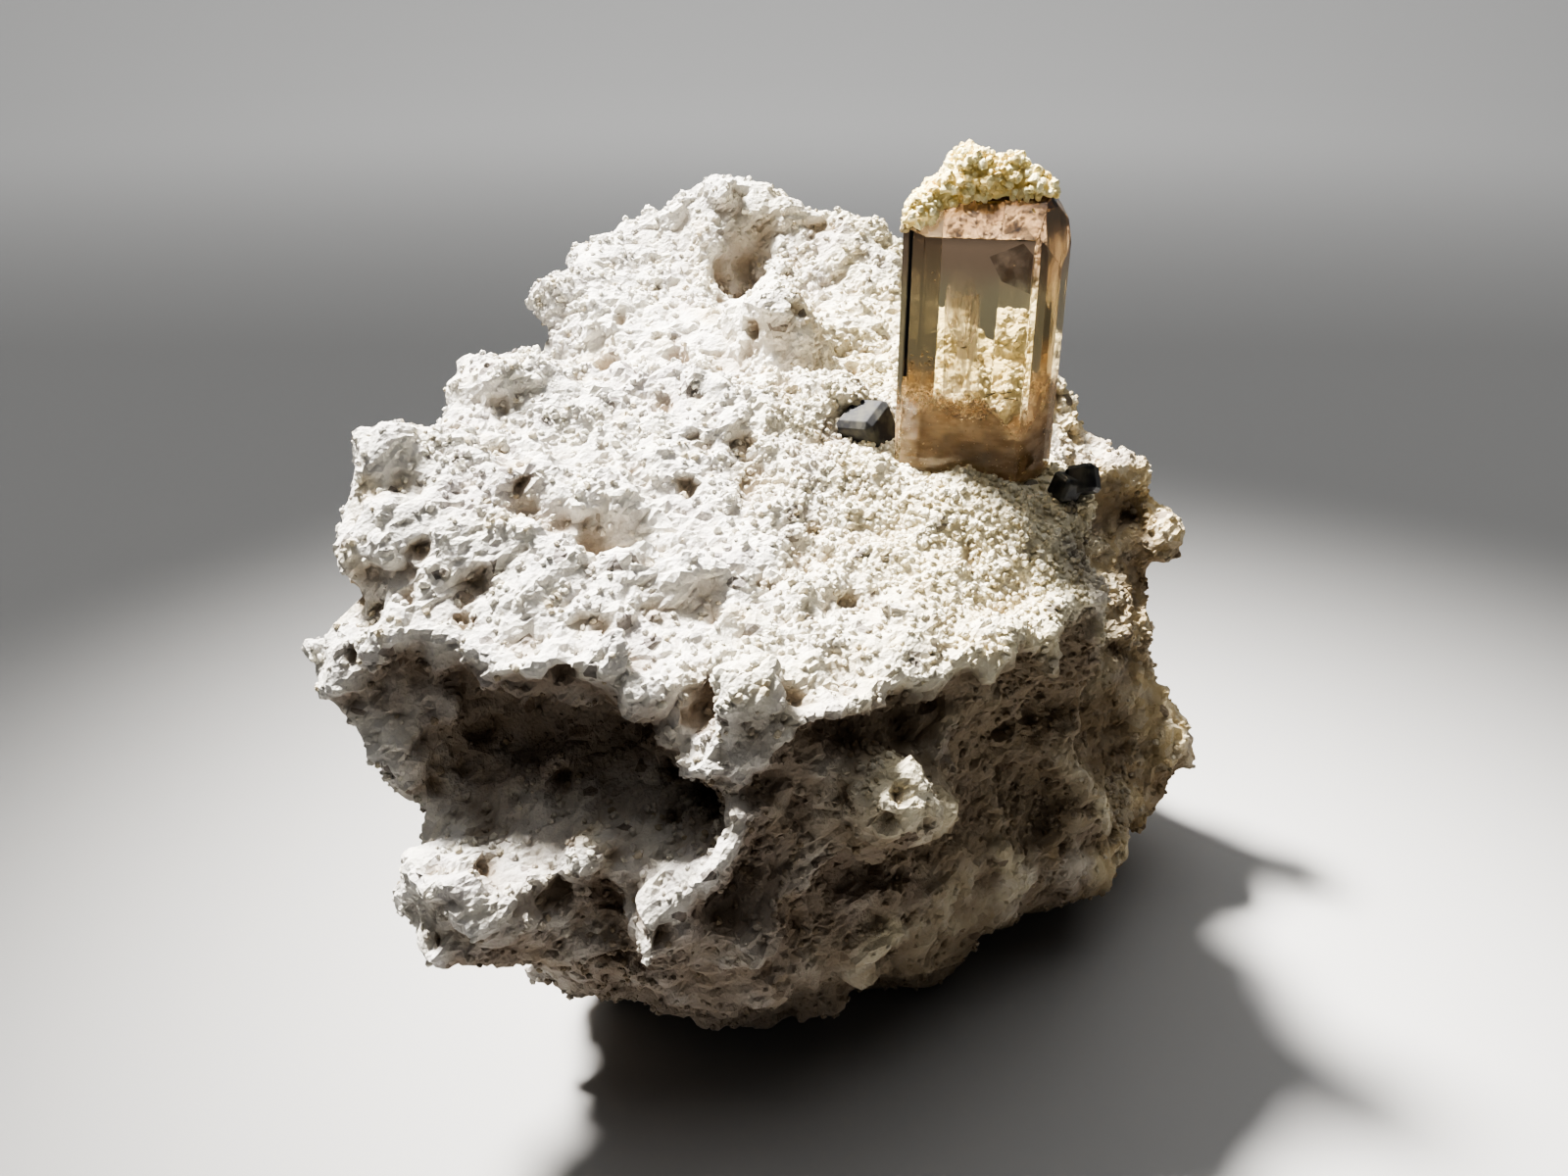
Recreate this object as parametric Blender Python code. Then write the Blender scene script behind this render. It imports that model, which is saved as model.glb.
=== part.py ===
"""A sherry-coloured topaz prism on a lump of crumbly rhyolite, with small black bixbyites.

Metres, +Z up. The lump stands on its flattened underside at z = 0, and its middle is over the
origin. Azimuth 0 looks along +Y at the wide face of the topaz. Places and sizes in the lists are
in millimetres, bearings and leans in degrees.
"""
import math
import random

import bmesh
import bpy
from mathutils import Euler, Matrix, Vector, noise

MM = 0.001
GAP = 0.3 * MM

# The topaz: a flattened prism, rooted in the matrix, with sloping faces at its tip. Its wide
# front face has this bearing, and its faces lie so far out from its heart.
TOPAZ_HEART = (6.9, -1.5, 30.0)
TOPAZ_ROOT_BELOW = 7.4
TOPAZ_TOP_ABOVE = 8.7
TOPAZ_FRONT_BEARING = -101.3
TOPAZ_FRONT_OUT = 2.06
TOPAZ_BACK_OUT = 1.84
TOPAZ_SLOPE = 44.4
CRYSTAL_BLANK = 60.0

# The crystals of bixbyite, cubes with their edges cut off: width, middle, lean.
LEFT_BIXBYITE = (2.1, (1.9, -0.7, 27.6), (24, -8, -38))
RIGHT_BIXBYITES = (
    (1.15, (10.75, -3.7, 25.8), (10, 15, 30)),
    (1.3, (11.55, -3.5, 26.1), (-20, 25, 60)),
)
CUT_EDGE_SHARE = 0.133

# The crust on the tip of the topaz.
CRUST_CELL = 0.16
CRUST_GRAINS = 150
CRUST_GRAIN_WIDTHS = (0.35, 0.85)
CRUST_TRIANGLES = 1300

# The lump of matrix.
MATRIX_CELL = 0.55
MATRIX_TRIANGLES = 8200
MATRIX_CRUMBS = 420
MATRIX_CRUMB_WIDTHS = (1.2, 3.4)

# A crumb lies this share of its half-width below the skin, and is drawn out by this much.
CRUMB_SUNK = 0.45
CRUMB_STRETCH = (0.75, 1.3)

# The unevenness of the broken stone: swells, knobs and the cracks between the knobs.
SWELL_WIDTH = 6.0
SWELL_HEIGHT = 0.5
SWELL_OCTAVES = 3
KNOB_SPACING = 2.8
KNOB_HEIGHT = 1.1
CRACK_WIDTH = 0.22
CRACK_DEPTH = 0.35

# The blocks that the matrix has split into, by their corners.
BLOCKS = {
    "table that carries the topaz": (
        (-20.0, -7, 28.2), (-20.2, -10, 25.4), (-19.2, -12.0, 22.8), (-14, -13.6, 22.9),
        (-8.8, -15.0, 22.7), (-3.5, -15.1, 22.3), (1, -14.5, 21.8), (4.3, -13, 20.2),
        (6.6, -10.7, 21), (9, -8.6, 21), (12.1, -6.1, 21.8), (12.0, -3.5, 24.6), (11.5, 2, 26.5),
        (0, 1, 29), (-6.6, 1.5, 30), (-15, 1.8, 30), (-17, -1, 28.5), (-18.2, -13.2, 18.2),
        (-17.4, -13.6, 16.2), (-17, -9, 14), (-4, -11, 14), (6, -10.5, 14), (12.4, -6.6, 14.5),
        (12, 6, 12), (9, 8, 24), (-14, 7, 24), (-12, 8, 12), (-17, 0, 15),
    ),
    "foot": (
        (-11, -8, -1), (-3, -9.5, -1), (3, -7.5, -1), (7, -5, -1), (13, -0.5, -1), (15.5, 5, -1),
        (10, 12, -1), (2, 15, -1), (-7, 14, -1), (-11, 5, -1), (-15.6, -17.3, 11.8),
        (-9.8, -18.0, 10), (-4.6, -17.6, 8.8), (3, -14.5, 8), (9, -10.3, 7), (15.4, -4.4, 4.4),
        (17.3, 2, 4.7), (16.5, 8, 8), (3, 17, 12), (-8, 18, 12), (-13.5, 8, 12), (-16, -8, 12),
        (-17.0, -15.0, 15), (-8, -16, 15.5), (-2, -15, 16.5), (4, -12.5, 17), (11.5, -6, 14),
    ),
    "back ridge": (
        (-14.2, 10.5, 30.8), (-12.7, 15.6, 32.6), (-8, 18.6, 35.0), (-5, 19.0, 35.6),
        (1, 18.2, 33.8), (4.5, 16.8, 32.4), (9, 13.5, 30), (13.3, 12, 27.6), (-14.5, 5, 28.5),
        (-2, 4, 28.3), (8, 5, 27), (-14, 8, 14), (-12, 15, 14), (-7, 19, 12), (5, 17, 10),
        (12, 13, 10),
    ),
    "right flank": (
        (13.7, 12, 27.2), (16.2, 10.2, 23.8), (17.4, 8.8, 21.8), (19.0, 7.4, 18.6),
        (18.8, 4.7, 14.2), (19.9, 2.6, 6.8), (18.2, 0.2, 4.6), (15, -2.6, 4.8), (12, -3, 9),
        (11.5, 4, 20), (9, 8, 27), (9, 15, 20), (12, 14, 5), (17, 9, 3.5),
    ),
}

# Rounded lumps on the blocks: middle, half-widths, lean.
LUMPS = (
    # The raised corner at the upper left, and the swelling below it.
    ((-20.1, -7.0, 29.3), (1.1, 1.1, 0.9), (0, 0, 0)),
    ((-18.4, -5.8, 28.5), (1.7, 1.6, 1.1), (0, 0, 0)),
    ((-19.0, -9.4, 26.0), (1.6, 2.0, 2.0), (0, 0, 0)),
    ((-19.2, -10.8, 23.8), (1.2, 1.6, 1.2), (0, 0, 0)),
    ((-17.4, -12.0, 23.4), (2.2, 1.4, 1.0), (0, 0, 0)),
    # The lump that sticks out to the left, under the rim.
    ((-19.8, -11.8, 20.8), (1.3, 1.7, 1.6), (0, 0, 0)),
    ((-19.2, -12.4, 19.3), (1.1, 1.5, 1.2), (0, 0, 0)),
    # The wall at the left of the recess.
    ((-17.5, -12.8, 17.0), (1.6, 1.7, 2.6), (0, 0, 0)),
    # The overhanging rim along the front, with its tooth.
    ((-14.0, -13.6, 22.4), (2.6, 1.3, 0.9), (0, 0, 0)),
    ((-11.4, -14.8, 22.0), (1.2, 1.2, 1.5), (0, 0, 0)),
    ((-8.4, -15.2, 22.4), (2.6, 1.3, 1.0), (0, 0, 0)),
    ((-3.6, -15.3, 21.6), (2.6, 1.6, 1.9), (0, 0, 0)),
    # The slanting ridge under the middle of the rim.
    ((0.4, -15.0, 21.2), (2.2, 1.3, 1.2), (0, -25, 0)),
    ((-2.2, -16.0, 19.8), (2.4, 1.3, 1.0), (0, -35, 0)),
    ((-6.2, -14.6, 19.0), (1.8, 1.4, 1.2), (0, 20, 0)),
    # The round lumps below: lower left, middle, right of the middle.
    ((-14.8, -17.3, 14.4), (2.8, 2.1, 1.9), (0, 10, 0)),
    ((-12.4, -16.8, 13.4), (1.9, 2.1, 1.5), (0, 0, 0)),
    ((-14.6, -17.0, 12.0), (2.2, 1.9, 1.6), (0, 0, 0)),
    ((-9.0, -16.8, 14.8), (2.6, 1.8, 1.3), (0, 0, 0)),
    ((-4.6, -16.8, 15.4), (1.5, 2.0, 3.2), (0, 40, 0)),
    ((-3.2, -16.2, 16.8), (1.5, 1.8, 1.4), (0, 0, 0)),
    ((-6.4, -17.4, 13.0), (1.6, 1.6, 1.5), (0, 0, 0)),
    ((-3.2, -16.8, 12.6), (0.8, 1.3, 2.3), (0, 35, 0)),
    ((2.0, -14.0, 17.4), (2.9, 2.3, 2.2), (0, 0, 0)),
    ((3.6, -13.4, 16.2), (1.6, 1.8, 1.8), (0, 0, 0)),
    ((0.2, -14.8, 15.8), (1.8, 1.6, 1.3), (0, 0, 0)),
    # Lumps down the right-hand corner.
    ((6.3, -10.9, 21.2), (1.6, 1.3, 1.4), (0, 0, 0)),
    ((4.8, -12.3, 19.6), (1.2, 1.2, 1.6), (0, 0, 0)),
    ((8.4, -9.0, 20.4), (1.7, 1.2, 1.3), (0, 0, 0)),
    ((11.4, -6.6, 21.4), (1.0, 1.3, 1.7), (0, 0, 0)),
    ((11.9, -6.4, 18.2), (0.8, 1.5, 1.5), (0, 0, 0)),
    ((11.0, -7.4, 14.2), (1.7, 1.3, 1.4), (0, 0, 0)),
    ((12.4, -6.0, 10.4), (1.7, 1.5, 1.4), (0, 0, 0)),
    # Lumps on the top: the brow, the nodule at the left, the boulder below the hollow.
    ((-14.4, -0.6, 28.9), (2.2, 1.7, 1.7), (0, 0, 0)),
    ((-11.4, 1.2, 29.6), (2.6, 1.4, 1.0), (0, 0, 0)),
    ((-5.6, 1.0, 29.6), (3.6, 1.3, 0.9), (0, 0, 0)),
    ((-1.4, 0.6, 28.9), (2.4, 1.3, 1.0), (0, 0, 0)),
    ((-2.2, 6.0, 30.5), (1.9, 1.6, 2.1), (0, 0, 0)),
    # The low swelling that the topaz and the bixbyites stand in.
    ((6.6, -3.6, 24.9), (4.6, 3.2, 1.5), (20, 0, 0)),
    ((2.6, -1.6, 26.2), (2.0, 1.8, 1.3), (0, 0, 0)),
    ((10.8, -2.6, 24.9), (1.3, 1.7, 1.2), (0, 0, 0)),
    # The crest of the back ridge.
    ((-5.6, 17.9, 35.1), (2.8, 1.9, 1.7), (0, 0, 0)),
    ((-2.2, 17.2, 34.4), (2.6, 1.8, 1.5), (0, 0, 0)),
    ((-9.4, 17.2, 33.4), (1.7, 2.0, 1.5), (0, 0, 0)),
    ((-12.2, 15.0, 31.8), (1.8, 2.2, 1.8), (0, 0, 0)),
    ((-13.6, 10.8, 30.0), (1.6, 2.0, 1.6), (0, 0, 0)),
    ((1.4, 16.9, 33.6), (2.6, 1.8, 1.3), (0, 0, 0)),
    ((4.6, 16.6, 32.0), (2.0, 2.0, 1.3), (0, 0, 0)),
    # The far right flank and its knob.
    ((19.4, 7.9, 19.3), (1.4, 1.7, 1.7), (0, 0, 0)),
    ((17.0, 8.8, 22.2), (1.4, 1.6, 1.5), (0, 0, 0)),
    ((19.4, 2.7, 8.2), (1.3, 2.0, 3.0), (0, 0, 0)),
    ((17.8, 0.6, 5.2), (1.4, 1.7, 1.3), (0, 0, 0)),
    ((14.8, -3.4, 5.6), (1.9, 1.6, 1.3), (0, 0, 0)),
    # The back, broken off in shallow swells.
    ((-9.0, 16.6, 21.0), (4.2, 2.4, 3.2), (0, 20, 0)),
    ((2.6, 16.6, 25.0), (4.6, 2.2, 2.6), (0, -15, 0)),
    ((-2.0, 17.0, 13.6), (5.4, 2.2, 2.8), (0, 10, 0)),
    ((9.4, 14.0, 17.6), (3.4, 2.4, 4.0), (0, 15, 0)),
    ((5.6, 14.0, 6.6), (4.4, 2.2, 2.4), (0, -20, 0)),
    ((-14.4, 5.4, 21.0), (1.8, 3.4, 3.6), (0, 0, 0)),
    ((-15.6, -4.4, 20.0), (1.8, 3.6, 2.6), (0, 0, 0)),
)

# Hollows eaten into the stone: middle, half-widths, lean.
HOLLOWS = (
    # The deep shaded recess under the rim.
    ((-13.0, -16.2, 18.4), (4.9, 4.6, 2.8), (0, 0, 0)),
    ((-8.4, -16.4, 18.7), (3.2, 4.2, 2.4), (0, 0, 0)),
    ((-6.4, -17.6, 20.6), (1.2, 3.2, 1.0), (0, 0, 0)),
    # The holes under the slanting ridge, and between the lumps below it.
    ((-4.6, -17.4, 17.7), (2.0, 3.6, 1.0), (0, -25, 0)),
    ((-1.0, -16.4, 17.4), (0.8, 3.0, 1.5), (0, 0, 0)),
    ((0.4, -16.6, 19.4), (2.4, 2.0, 0.7), (0, -30, 0)),
    # The shaded wall at the right, below the corner.
    ((7.2, -12.8, 16.8), (2.3, 3.0, 3.2), (0, 0, 0)),
    ((10.0, -9.4, 18.2), (1.0, 1.8, 1.8), (0, 0, 0)),
    # Between the lower left lump and the middle, and beside the thin ridge.
    ((-9.8, -19.4, 12.6), (1.8, 2.6, 1.5), (0, 0, 0)),
    ((-1.2, -17.2, 13.2), (0.8, 2.2, 2.4), (0, 35, 0)),
    ((-4.4, -19.0, 12.4), (0.6, 1.8, 1.6), (0, 35, 0)),
    # Hollows in the top: under the brow, under the nodule, below the peak, under the boulder.
    ((-11.1, -7.4, 27.2), (2.1, 1.3, 1.3), (20, 0, 0)),
    ((-14.6, -3.4, 28.6), (1.3, 1.1, 1.0), (0, 0, 0)),
    ((-4.3, 13.2, 33.0), (1.7, 2.4, 2.0), (0, 0, 0)),
    ((0.9, 5.0, 29.4), (1.1, 1.8, 1.4), (0, 0, 0)),
    ((-2.6, 3.6, 29.8), (3.0, 1.2, 1.0), (0, 0, 0)),
    ((-19.6, -12.3, 24.0), (1.1, 1.3, 0.9), (0, 0, 0)),
    ((-14.4, -11.4, 25.6), (1.1, 0.9, 1.0), (0, 0, 0)),
    ((-12.6, -13.6, 24.4), (0.9, 0.9, 0.8), (0, 0, 0)),
    ((-9.9, -13.8, 24.4), (1.0, 0.9, 0.9), (0, 0, 0)),
    # Hollows in the back.
    ((-3.2, 19.6, 18.6), (3.2, 1.8, 1.6), (0, 15, 0)),
    ((6.4, 18.0, 20.6), (1.4, 1.8, 2.6), (0, 30, 0)),
    ((-1.6, 19.8, 28.8), (3.6, 1.6, 1.2), (0, -10, 0)),
    ((-12.4, 13.6, 16.0), (1.6, 2.2, 3.0), (0, 0, 0)),
    ((-16.8, 0.6, 25.4), (1.4, 2.4, 1.4), (0, 0, 0)),
    ((-15.6, 1.4, 15.6), (1.6, 2.6, 1.6), (0, 0, 0)),
)

# The lumps of the crust: middle and half-width.
CRUST_LUMPS = (
    ((5.8, -1.4, 39.0), 0.95), ((7.3, -1.5, 38.9), 0.85), ((4.5, -1.8, 38.1), 0.7),
    ((3.6, -2.3, 37.6), 0.5), ((3.3, -2.6, 37.1), 0.35), ((8.2, -1.7, 38.6), 0.7),
    ((9.0, -1.9, 38.3), 0.5), ((6.4, -0.2, 38.3), 0.9), ((7.8, -0.4, 38.0), 0.75),
    ((5.0, -0.2, 38.0), 0.8), ((8.9, -0.9, 37.9), 0.55), ((4.0, -1.1, 37.7), 0.6),
    ((5.6, 0.5, 37.3), 0.6), ((7.0, 0.4, 37.4), 0.6),
)


def clear_scene():
    """Leaves an empty scene."""
    for item in list(bpy.data.objects):
        bpy.data.objects.remove(item, do_unlink=True)


def material(name, colour, roughness, metallic=0.0, transmission=0.0):
    """One Principled material in a plain colour."""
    made = bpy.data.materials.new(name)
    made.use_nodes = True
    shader = made.node_tree.nodes["Principled BSDF"]
    shader.inputs["Base Color"].default_value = (*colour, 1.0)
    shader.inputs["Roughness"].default_value = roughness
    shader.inputs["Metallic"].default_value = metallic
    shader.inputs["Transmission Weight"].default_value = transmission
    made.diffuse_color = (*colour, 1.0)
    return made


def add_object(name, bm):
    """Turns a bmesh into an object of the scene."""
    mesh = bpy.data.meshes.new(name)
    bm.to_mesh(mesh)
    bm.free()
    made = bpy.data.objects.new(name, mesh)
    bpy.context.scene.collection.objects.link(made)
    return made


def as_cutter(made):
    """Marks an object that only shapes others."""
    made.hide_render = True
    made.display_type = "WIRE"
    return made


def bake(made):
    """Replaces an object's mesh by what its modifiers make of it."""
    graph = bpy.context.evaluated_depsgraph_get()
    mesh = bpy.data.meshes.new_from_object(made.evaluated_get(graph))
    made.modifiers.clear()
    made.data = mesh


def cut(made, cutter):
    """Takes one object's shape out of another."""
    modifier = made.modifiers.new("cut", "BOOLEAN")
    modifier.operation = "DIFFERENCE"
    modifier.solver = "EXACT"
    modifier.object = cutter
    bake(made)


def join_in_cells(made, cell):
    """Joins everything in the object into one skin, on a grid of small cells."""
    modifier = made.modifiers.new("join", "REMESH")
    modifier.mode = "VOXEL"
    modifier.voxel_size = cell * MM
    modifier.adaptivity = 0.0
    bake(made)


def thin_out(made, triangles):
    """Keeps about so many triangles, where they say most about the shape."""
    corners = sum(len(face.vertices) - 2 for face in made.data.polygons)
    modifier = made.modifiers.new("thin", "DECIMATE")
    modifier.ratio = triangles / corners
    bake(made)


def add_block(bm, corners):
    """Adds the convex block that has these corners."""
    verts = [bm.verts.new(Vector(corner) * MM) for corner in corners]
    hull = bmesh.ops.convex_hull(bm, input=verts, use_existing_faces=False)
    inside = {item for item in hull["geom_interior"] if isinstance(item, bmesh.types.BMVert)}
    bmesh.ops.delete(bm, geom=list(inside), context="VERTS")


def add_lump(bm, place, radii, lean=(0, 0, 0), fineness=3):
    """Adds a rounded lump."""
    turn = Euler([math.radians(angle) for angle in lean]).to_matrix().to_4x4()
    size = Matrix.Diagonal((*(radius * MM for radius in radii), 1.0))
    where = Matrix.Translation(Vector(place) * MM) @ turn @ size
    bmesh.ops.create_icosphere(bm, subdivisions=fineness, radius=1.0, matrix=where)


def scatter(made, count, widths, seed, lowest, fineness):
    """Adds half-buried crumbs of the same stuff all over an object's skin."""
    draw = random.Random(seed)
    bm = bmesh.new()
    faces = made.data.polygons
    for _ in range(count):
        face = faces[draw.randrange(len(faces))]
        width = draw.uniform(*widths) / 2
        sunk = Vector(face.center) / MM - Vector(face.normal) * width * CRUMB_SUNK
        radii = [width * draw.uniform(*CRUMB_STRETCH) for _ in range(3)]
        lean = [draw.uniform(0, 180) for _ in range(3)]
        if sunk.z > lowest:
            add_lump(bm, sunk, radii, lean, fineness)
    bm.from_mesh(made.data)
    bm.to_mesh(made.data)
    bm.free()


def keep_main_body(made):
    """Drops the crumbs that a cut has left loose."""
    bm = bmesh.new()
    bm.from_mesh(made.data)
    bodies = []
    waiting = set(bm.verts)
    while waiting:
        front = [waiting.pop()]
        body = set(front)
        while front:
            vert = front.pop()
            near = {edge.other_vert(vert) for edge in vert.link_edges} & waiting
            waiting -= near
            body |= near
            front.extend(near)
        bodies.append(body)
    largest = max(bodies, key=len)
    loose = [vert for vert in bm.verts if vert not in largest]
    bmesh.ops.delete(bm, geom=loose, context="VERTS")
    bm.to_mesh(made.data)
    bm.free()


def roughness_at(place):
    """How far, in millimetres, the broken stone stands out at a place in millimetres."""
    swell = noise.fractal(place / SWELL_WIDTH, 0.9, 2.1, SWELL_OCTAVES) * SWELL_HEIGHT
    near, second = noise.voronoi(place / KNOB_SPACING)[0][:2]
    knob = (0.5 - near) * KNOB_HEIGHT
    crack = -CRACK_DEPTH * max(0.0, 1 - (second - near) / CRACK_WIDTH)
    return swell + knob + crack


def roughen(made):
    """Breaks a smooth skin up into crumbs, dimples and cracks."""
    bm = bmesh.new()
    bm.from_mesh(made.data)
    bm.normal_update()
    moves = [vert.normal * (roughness_at(vert.co / MM) * MM) for vert in bm.verts]
    for vert, move in zip(bm.verts, moves):
        vert.co += move
    bm.to_mesh(made.data)
    bm.free()


def ground_cutter():
    """A slab whose top is the plane that the matrix rests on."""
    width, depth = 80 * MM, 20 * MM
    bm = bmesh.new()
    where = Matrix.Translation((0, 0, -depth / 2)) @ Matrix.Diagonal((width, width, depth, 1))
    bmesh.ops.create_cube(bm, size=1.0, matrix=where)
    return as_cutter(add_object("ground", bm))


def hollow_cutter():
    """All the hollows as one shape."""
    bm = bmesh.new()
    for place, radii, lean in HOLLOWS:
        add_lump(bm, place, radii, lean)
    made = as_cutter(add_object("hollows", bm))
    join_in_cells(made, MATRIX_CELL)
    return made


def matrix_body(sockets):
    """The stone: blocks and lumps grown together, crumbly, hollowed, with a socket per crystal."""
    bm = bmesh.new()
    for corners in BLOCKS.values():
        add_block(bm, corners)
    for place, radii, lean in LUMPS:
        add_lump(bm, place, radii, lean)
    body = add_object("matrix", bm)
    join_in_cells(body, MATRIX_CELL)
    scatter(body, MATRIX_CRUMBS, MATRIX_CRUMB_WIDTHS, seed=5, lowest=2, fineness=2)
    join_in_cells(body, MATRIX_CELL)
    roughen(body)
    join_in_cells(body, MATRIX_CELL)
    cut(body, hollow_cutter())
    join_in_cells(body, MATRIX_CELL)
    thin_out(body, MATRIX_TRIANGLES)
    for cutter in (ground_cutter(), *sockets):
        cut(body, cutter)
    return body


def faceted(name, heart, faces, spread=0.0):
    """A crystal: what is left of a block once every face has been cut.

    A face is its bearing in plan and its tilt upwards, and how far it lies from the heart. A
    spread moves every face outwards by so many metres.
    """
    bm = bmesh.new()
    middle = Vector(heart) * MM
    bmesh.ops.create_cube(bm, size=CRYSTAL_BLANK * MM, matrix=Matrix.Translation(middle))
    for bearing, tilt, distance in faces:
        plan, rise = math.radians(bearing), math.radians(tilt)
        level = Vector((math.cos(plan), math.sin(plan), 0)) * math.cos(rise)
        out = level + Vector((0, 0, math.sin(rise)))
        sliced = bmesh.ops.bisect_plane(
            bm,
            geom=bm.verts[:] + bm.edges[:] + bm.faces[:],
            plane_co=middle + out * (distance * MM + spread),
            plane_no=out,
            clear_outer=True,
            dist=1e-8,
        )
        rim = [item for item in sliced["geom_cut"] if isinstance(item, bmesh.types.BMEdge)]
        if rim:
            bmesh.ops.contextual_create(bm, geom=rim)
    bmesh.ops.recalc_face_normals(bm, faces=bm.faces)
    return add_object(name, bm)


def topaz_shape(name, spread=0.0):
    """The prism of four pairs of faces, its sloping tip, and its cleaved root."""
    front = TOPAZ_FRONT_BEARING
    faces = (
        # The wide front face, the narrow face left of it, then the right face and its sliver.
        (front, 0, TOPAZ_FRONT_OUT),
        (front - 18.7, 0, 2.78),
        (front + 55.7, 0, 2.76),
        (front + 74.5, 0, 3.08),
        # The hidden faces, opposite to those.
        (front + 161.3, 0, 1.9),
        (front + 180, 0, TOPAZ_BACK_OUT),
        (front + 235.7, 0, 2.78),
        (front + 254.5, 0, 3.02),
        # The tip: front and back slopes, two shoulders, the steep corner face, the flat end.
        (front, TOPAZ_SLOPE, 6.18),
        (front + 180, TOPAZ_SLOPE, 6.2),
        (-18, 32, 6.45),
        (150, 38, 6.75),
        (-35.6, 12, 4.02),
        (0, 90, TOPAZ_TOP_ABOVE),
        # The cleaved root.
        (0, -90, TOPAZ_ROOT_BELOW),
    )
    return faceted(name, TOPAZ_HEART, faces, spread)


def crust_body(topaz_room):
    """The granular crust: lumps and grains grown together over the tip."""
    bm = bmesh.new()
    for place, half in CRUST_LUMPS:
        add_lump(bm, place, (half, half, half))
    crust = add_object("topaz_crust", bm)
    join_in_cells(crust, CRUST_CELL)
    scatter(crust, CRUST_GRAINS, CRUST_GRAIN_WIDTHS, seed=9, lowest=36.6, fineness=2)
    join_in_cells(crust, CRUST_CELL)
    thin_out(crust, CRUST_TRIANGLES)
    cut(crust, topaz_room)
    keep_main_body(crust)
    return crust


def add_bixbyite(bm, width, middle, lean, spread):
    """Adds a cube with its edges cut off. A spread makes it larger by so much all round."""
    whole = width * MM + 2 * spread
    turn = Euler([math.radians(angle) for angle in lean]).to_matrix().to_4x4()
    where = Matrix.Translation(Vector(middle) * MM) @ turn
    made = bmesh.ops.create_cube(bm, size=whole, matrix=where)
    edges = {edge for vert in made["verts"] for edge in vert.link_edges}
    bmesh.ops.bevel(
        bm,
        geom=list(edges),
        offset=CUT_EDGE_SHARE * width * MM,
        affect="EDGES",
        segments=1,
        profile=0.5,
        material=-1,
    )


def left_bixbyite(name, spread=0.0):
    """The crystal beside the topaz, turned with one cut edge towards the viewer."""
    bm = bmesh.new()
    add_bixbyite(bm, *LEFT_BIXBYITE, spread)
    return add_object(name, bm)


def right_bixbyite(name, spread=0.0):
    """Two small crystals grown into each other."""
    pair = []
    for crystal in RIGHT_BIXBYITES:
        bm = bmesh.new()
        add_bixbyite(bm, *crystal, spread)
        pair.append(add_object(name, bm))
    first, second = pair
    as_cutter(second)
    modifier = first.modifiers.new("grown together", "BOOLEAN")
    modifier.operation = "UNION"
    modifier.solver = "EXACT"
    modifier.object = second
    bake(first)
    return first


def main():
    clear_scene()
    rhyolite = material("rhyolite", (0.72, 0.67, 0.58), 0.9)
    sherry = material("sherry topaz", (0.86, 0.62, 0.42), 0.05, transmission=1.0)
    yellow = material("yellow crust", (0.78, 0.68, 0.42), 0.85)
    black = material("black bixbyite", (0.05, 0.05, 0.055), 0.25, metallic=0.8)

    room = as_cutter(topaz_shape("topaz_room", GAP))
    left_room = as_cutter(left_bixbyite("left_room", GAP))
    right_room = as_cutter(right_bixbyite("right_room", GAP))
    finished = (
        (matrix_body((room, left_room, right_room)), rhyolite),
        (topaz_shape("topaz"), sherry),
        (crust_body(room), yellow),
        (left_bixbyite("bixbyite_left"), black),
        (right_bixbyite("bixbyite_right"), black),
    )
    for piece, finish in finished:
        piece.data.materials.clear()
        piece.data.materials.append(finish)


main()
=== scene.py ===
# %% [markdown]
# # A topaz on its matrix
#
# The object is a mineral specimen: a sherry-coloured topaz prism on a lump of crumbly, pale
# volcanic rock, with a yellow crust on its tip and small black crystals of bixbyite at its foot.
# The solid model gives the shape and place of each piece. This script gives each the surface that
# the eye sees: sugary grains and pits on the stone, clear depth in the topaz.

# %% Frame
import math
import random

import bmesh
import bpy
import numpy as np
from mathutils import Matrix, Vector, noise
from mathutils.bvhtree import BVHTree


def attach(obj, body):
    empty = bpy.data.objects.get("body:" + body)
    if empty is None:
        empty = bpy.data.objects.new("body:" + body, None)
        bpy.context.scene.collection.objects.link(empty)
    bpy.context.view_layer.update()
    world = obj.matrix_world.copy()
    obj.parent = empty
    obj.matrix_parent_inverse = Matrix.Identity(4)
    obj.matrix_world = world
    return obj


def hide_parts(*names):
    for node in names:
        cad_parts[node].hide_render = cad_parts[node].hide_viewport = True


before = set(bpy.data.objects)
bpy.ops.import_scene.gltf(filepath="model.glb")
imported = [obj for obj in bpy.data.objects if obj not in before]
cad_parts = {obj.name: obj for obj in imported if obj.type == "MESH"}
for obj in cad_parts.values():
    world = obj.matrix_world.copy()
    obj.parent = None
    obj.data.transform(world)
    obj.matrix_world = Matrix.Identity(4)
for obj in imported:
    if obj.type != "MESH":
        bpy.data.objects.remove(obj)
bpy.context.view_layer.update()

MM = 0.001
WELD = 1e-6
noise.seed_set(5)


def add_object(name, data):
    """Puts a mesh, a light or a camera into the scene as an object."""
    made = bpy.data.objects.new(name, data)
    bpy.context.scene.collection.objects.link(made)
    return made


print("nodes:", ", ".join(sorted(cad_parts)))

# %% [markdown]
# ## The camera
#
# The foot of the topaz was only 56 mm from the lens, so the perspective is strong. The camera
# comes first, because features of the stone are placed by the pixel where the photograph shows
# them: a ray from the camera through that pixel finds the spot on the stone.

# %% Camera
PHOTO_WIDTH = 1600
PHOTO_HEIGHT = 1200
FOCAL_PIXELS = 1250
CAMERA_PLACE = Vector((-2.0, -55.5, 46.0)) * MM
CAMERA_DOWN = math.radians(26)
SENSOR_WIDTH = 36

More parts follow.
